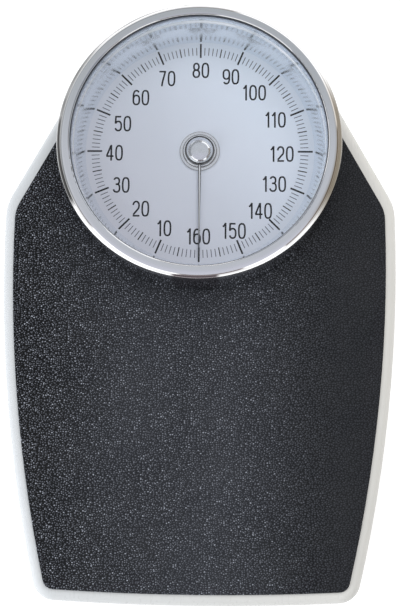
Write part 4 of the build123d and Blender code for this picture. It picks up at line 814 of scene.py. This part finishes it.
def add_stroke(curve, points, closed):
    """A run of straight lines in a curve."""
    run = curve.splines.new("POLY")
    run.points.add(len(points) - 1)
    for point, (x, y) in zip(run.points, points):
        point.co = (x, y, 0.0, 1.0)
    run.use_cyclic_u = closed


def flat_pen(width, thickness):
    """The pen's section, which a stroke's middle line is swept with."""
    outline = bpy.data.curves.new("pen_section", "CURVE")
    outline.dimensions = "2D"
    corners = ((-0.5, -0.5), (0.5, -0.5), (0.5, 0.5), (-0.5, 0.5))
    add_stroke(outline, [(x * width, y * thickness) for x, y in corners], True)
    return add_object("pen_section", outline)


def penned_digit(strokes, width, height, pen):
    """A digit drawn with the pen round the origin, as a mesh."""
    drawing = bpy.data.curves.new("digit", "CURVE")
    drawing.dimensions = "2D"
    drawing.fill_mode = "NONE"
    drawing.bevel_mode = "OBJECT"
    drawing.bevel_object = pen
    drawing.use_fill_caps = True
    for points, closed in strokes:
        add_stroke(drawing, [(x * width, y * height) for x, y in points], closed)
    choose(add_object("digit", drawing))
    bpy.ops.object.convert(target="MESH")
    return bpy.context.active_object


def print_at(sign, x, y):
    """A copy of a character, with its own mesh, printed on the dial at a place from its axis."""
    copy = add_object(sign.name, sign.data.copy())
    lift = DIAL_FACE + (PRINT_PROUD - PRINT_SUNK) / 2
    copy.data.transform(Matrix.Translation((DIAL_CENTRE.x + x, DIAL_CENTRE.y + y, lift)))
    return copy


def print_numbers():
    """The dial's numbers as one piece. Each digit is drawn once and copied to its places."""
    pen = flat_pen(NUMBER_STROKE, PRINT_SUNK + PRINT_PROUD)
    width, height = DIGIT_WIDTH - NUMBER_STROKE, NUMBER_HEIGHT - NUMBER_STROKE
    digits = {name: penned_digit(strokes, width, height, pen)
              for name, strokes in digit_strokes().items()}
    placed = []
    for value, (x, y) in NUMBER_PLACES.items():
        steps = [ONE_ADVANCE if digit == "1" else DIGIT_ADVANCE for digit in str(value)]
        left = x * MM - sum(steps) / 2
        for digit, step in zip(str(value), steps):
            placed.append(print_at(digits[digit], left + step / 2, y * MM))
            left += step
    for sign in [*digits.values(), pen]:
        bpy.data.objects.remove(sign)
    numbers = join(placed, "dial_numbers")
    open_mesh(numbers)
    bpy.ops.mesh.remove_doubles(threshold=MERGE_PRINT)
    close_mesh()
    numbers.data.materials.clear()
    numbers.data.materials.append(INK)
    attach(numbers, "base")


print_numbers()


# ---------------------------------------------------------------- spring copies

def flexing_spring(node, name, moving, still_height, moving_height):
    """A smoothed copy of the spring in place of the rigid node, which is hidden."""
    spring = add_object(name, nodes[node].data.copy())
    spring.matrix_world = nodes[node].matrix_world.copy()
    settle(spring)
    open_mesh(spring)
    bpy.ops.mesh.remove_doubles(threshold=MERGE_SPRING)
    bpy.ops.object.mode_set(mode="OBJECT")
    bpy.ops.object.shade_smooth_by_angle(angle=SPRING_SMOOTHING)
    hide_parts(node)
    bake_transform(spring)


flexing_spring("retaining_springs", "flexing_retaining_springs", "platform",
               *RETAINING_SPRING_ENDS)
flexing_spring("main_spring", "flexing_main_spring", "calibration_plate", *MAIN_SPRING_ENDS)


# ---------------------------------------------------------------- studio

def seen_ray(tree, path):
    """1 for rays from the camera, from metal and from glass."""
    seen = maths(tree, "ADD", path.outputs["Is Camera Ray"], path.outputs["Is Glossy Ray"])
    return maths(tree, "ADD", seen, path.outputs["Is Transmission Ray"], True)


def pale_floor():
    """A pale floor that reads white to the eye and in the metal, and keeps the shadow."""
    choose()
    bpy.ops.mesh.primitive_plane_add(size=FLOOR_SIZE, location=(0.0, 0.0, -FLOOR_DROP))
    floor = bpy.context.active_object
    floor.name = "studio_floor"
    material, tree, shader = new_finish("studio_paper")
    place = object_place(tree)
    feed(tree, shader, {
        "Base Color": mix(tree, noise(tree, place, 3.0),
                          plain(0.80, 0.80, 0.80), plain(0.84, 0.84, 0.84)),
        "Roughness": 0.9,
        "Specular IOR Level": 0.0})
    seen = seen_ray(tree, put(tree, "ShaderNodeLightPath"))
    far = vector_maths(tree, "LENGTH", place).outputs[1]
    lift = between(tree, far, *GLOW_DISTANCES, *GLOW_LEVELS)
    glow = put(tree, "ShaderNodeEmission", None, {
        "Color": plain(1.0, 1.0, 1.0), "Strength": maths(tree, "MULTIPLY", seen, lift)})
    both = put(tree, "ShaderNodeAddShader", None, {0: shader.outputs[0], 1: glow.outputs[0]})
    tree.links.new(both.outputs[0], tree.nodes["Material Output"].inputs[0])
    floor.data.materials.append(material)


def room_light():
    """The room round the scale. Eye, metal and glass see it white low down, then grey walls
    with bright windows, under a pale ceiling. What falls on dull surfaces is an even light
    that is cool from the left, and dimmer and warmer from the right."""
    world = bpy.data.worlds.new("studio_room")
    bpy.context.scene.world = world
    world.use_nodes = True
    tree = world.node_tree
    tree.nodes.clear()
    direction = put(tree, "ShaderNodeTexCoord").outputs["Generated"]
    x, y, up = (part_of(tree, direction, index) for index in range(3))
    left_wall, right_wall, front_wall = (
        linear(158, 162, 166), linear(150, 138, 120), linear(132, 122, 122))
    rear_ceiling, front_ceiling = linear(200, 204, 210), linear(205, 207, 218)
    left_light, right_light = plain(0.86, 0.88, 0.91), plain(0.46, 0.45, 0.43)
    white, window = plain(1.0, 1.0, 1.0), plain(1.5, 1.5, 1.5)
    wall = mix(tree, between(tree, x, -0.3, 0.6), left_wall, right_wall)
    wall = mix(tree, between(tree, y, 0.1, -0.8), wall, front_wall)
    flat = vector_maths(tree, "MULTIPLY", direction, (1.0, 1.0, 0.0)).outputs[0]
    heading = vector_maths(tree, "NORMALIZE", flat).outputs[0]
    for middle, half in WINDOWS:
        pane = toward(tree, heading, middle, half, half + WINDOW_EDGE)
        wall = mix(tree, pane, wall, window)
    ceiling = mix(tree, between(tree, y, 0.1, -0.6), rear_ceiling, front_ceiling)
    room = mix(tree, between(tree, up, *WALL_HEIGHTS), white, wall)
    room = mix(tree, between(tree, up, *CEILING_HEIGHTS), room, ceiling)
    fill = mix(tree, between(tree, x, -0.8, 0.8), left_light, right_light)
    path = put(tree, "ShaderNodeLightPath")
    seen = maths(tree, "SUBTRACT", seen_ray(tree, path), path.outputs["Diffuse Depth"], True)
    glow = put(tree, "ShaderNodeBackground", None,
               {"Color": mix(tree, seen, fill, room), "Strength": 1.0})
    end = put(tree, "ShaderNodeOutputWorld")
    tree.links.new(glow.outputs[0], end.inputs[0])


def soft_lamp(name, place, side, power, colour):
    """A large soft lamp that lights the scale but isn't mirrored in its chrome."""
    data = bpy.data.lights.new(name, "AREA")
    data.shape = "SQUARE"
    data.size = side
    data.energy = power
    data.color = colour
    lamp = add_object(name, data)
    lamp.location = place
    lamp.visible_camera = False
    lamp.visible_glossy = False
    lamp.visible_transmission = False
    lamp.rotation_mode = "QUATERNION"
    lamp.rotation_quaternion = (LAMP_TARGET - Vector(place)).to_track_quat("-Z", "Y")


def place_camera():
    """The photograph's own angle: nearly straight above, leaning a little to the front."""
    data = bpy.data.cameras.new("photo_camera")
    data.sensor_width = CAMERA_SENSOR
    data.lens = CAMERA_LENS
    data.clip_start, data.clip_end = CAMERA_REACH
    camera = add_object("photo_camera", data)
    seen_from = (Matrix.Rotation(CAMERA_ROLL, 3, "Z") @ Matrix.Rotation(CAMERA_PITCH, 3, "X")
                 @ Matrix.Rotation(CAMERA_YAW, 3, "Y"))
    camera.matrix_world = Matrix.Translation(CAMERA_PLACE) @ seen_from.transposed().to_4x4()
    bpy.context.scene.camera = camera


pale_floor()
room_light()
for lamp in LAMPS:
    soft_lamp(*lamp)
place_camera()

view = bpy.context.scene.view_settings
view.view_transform = "Standard"
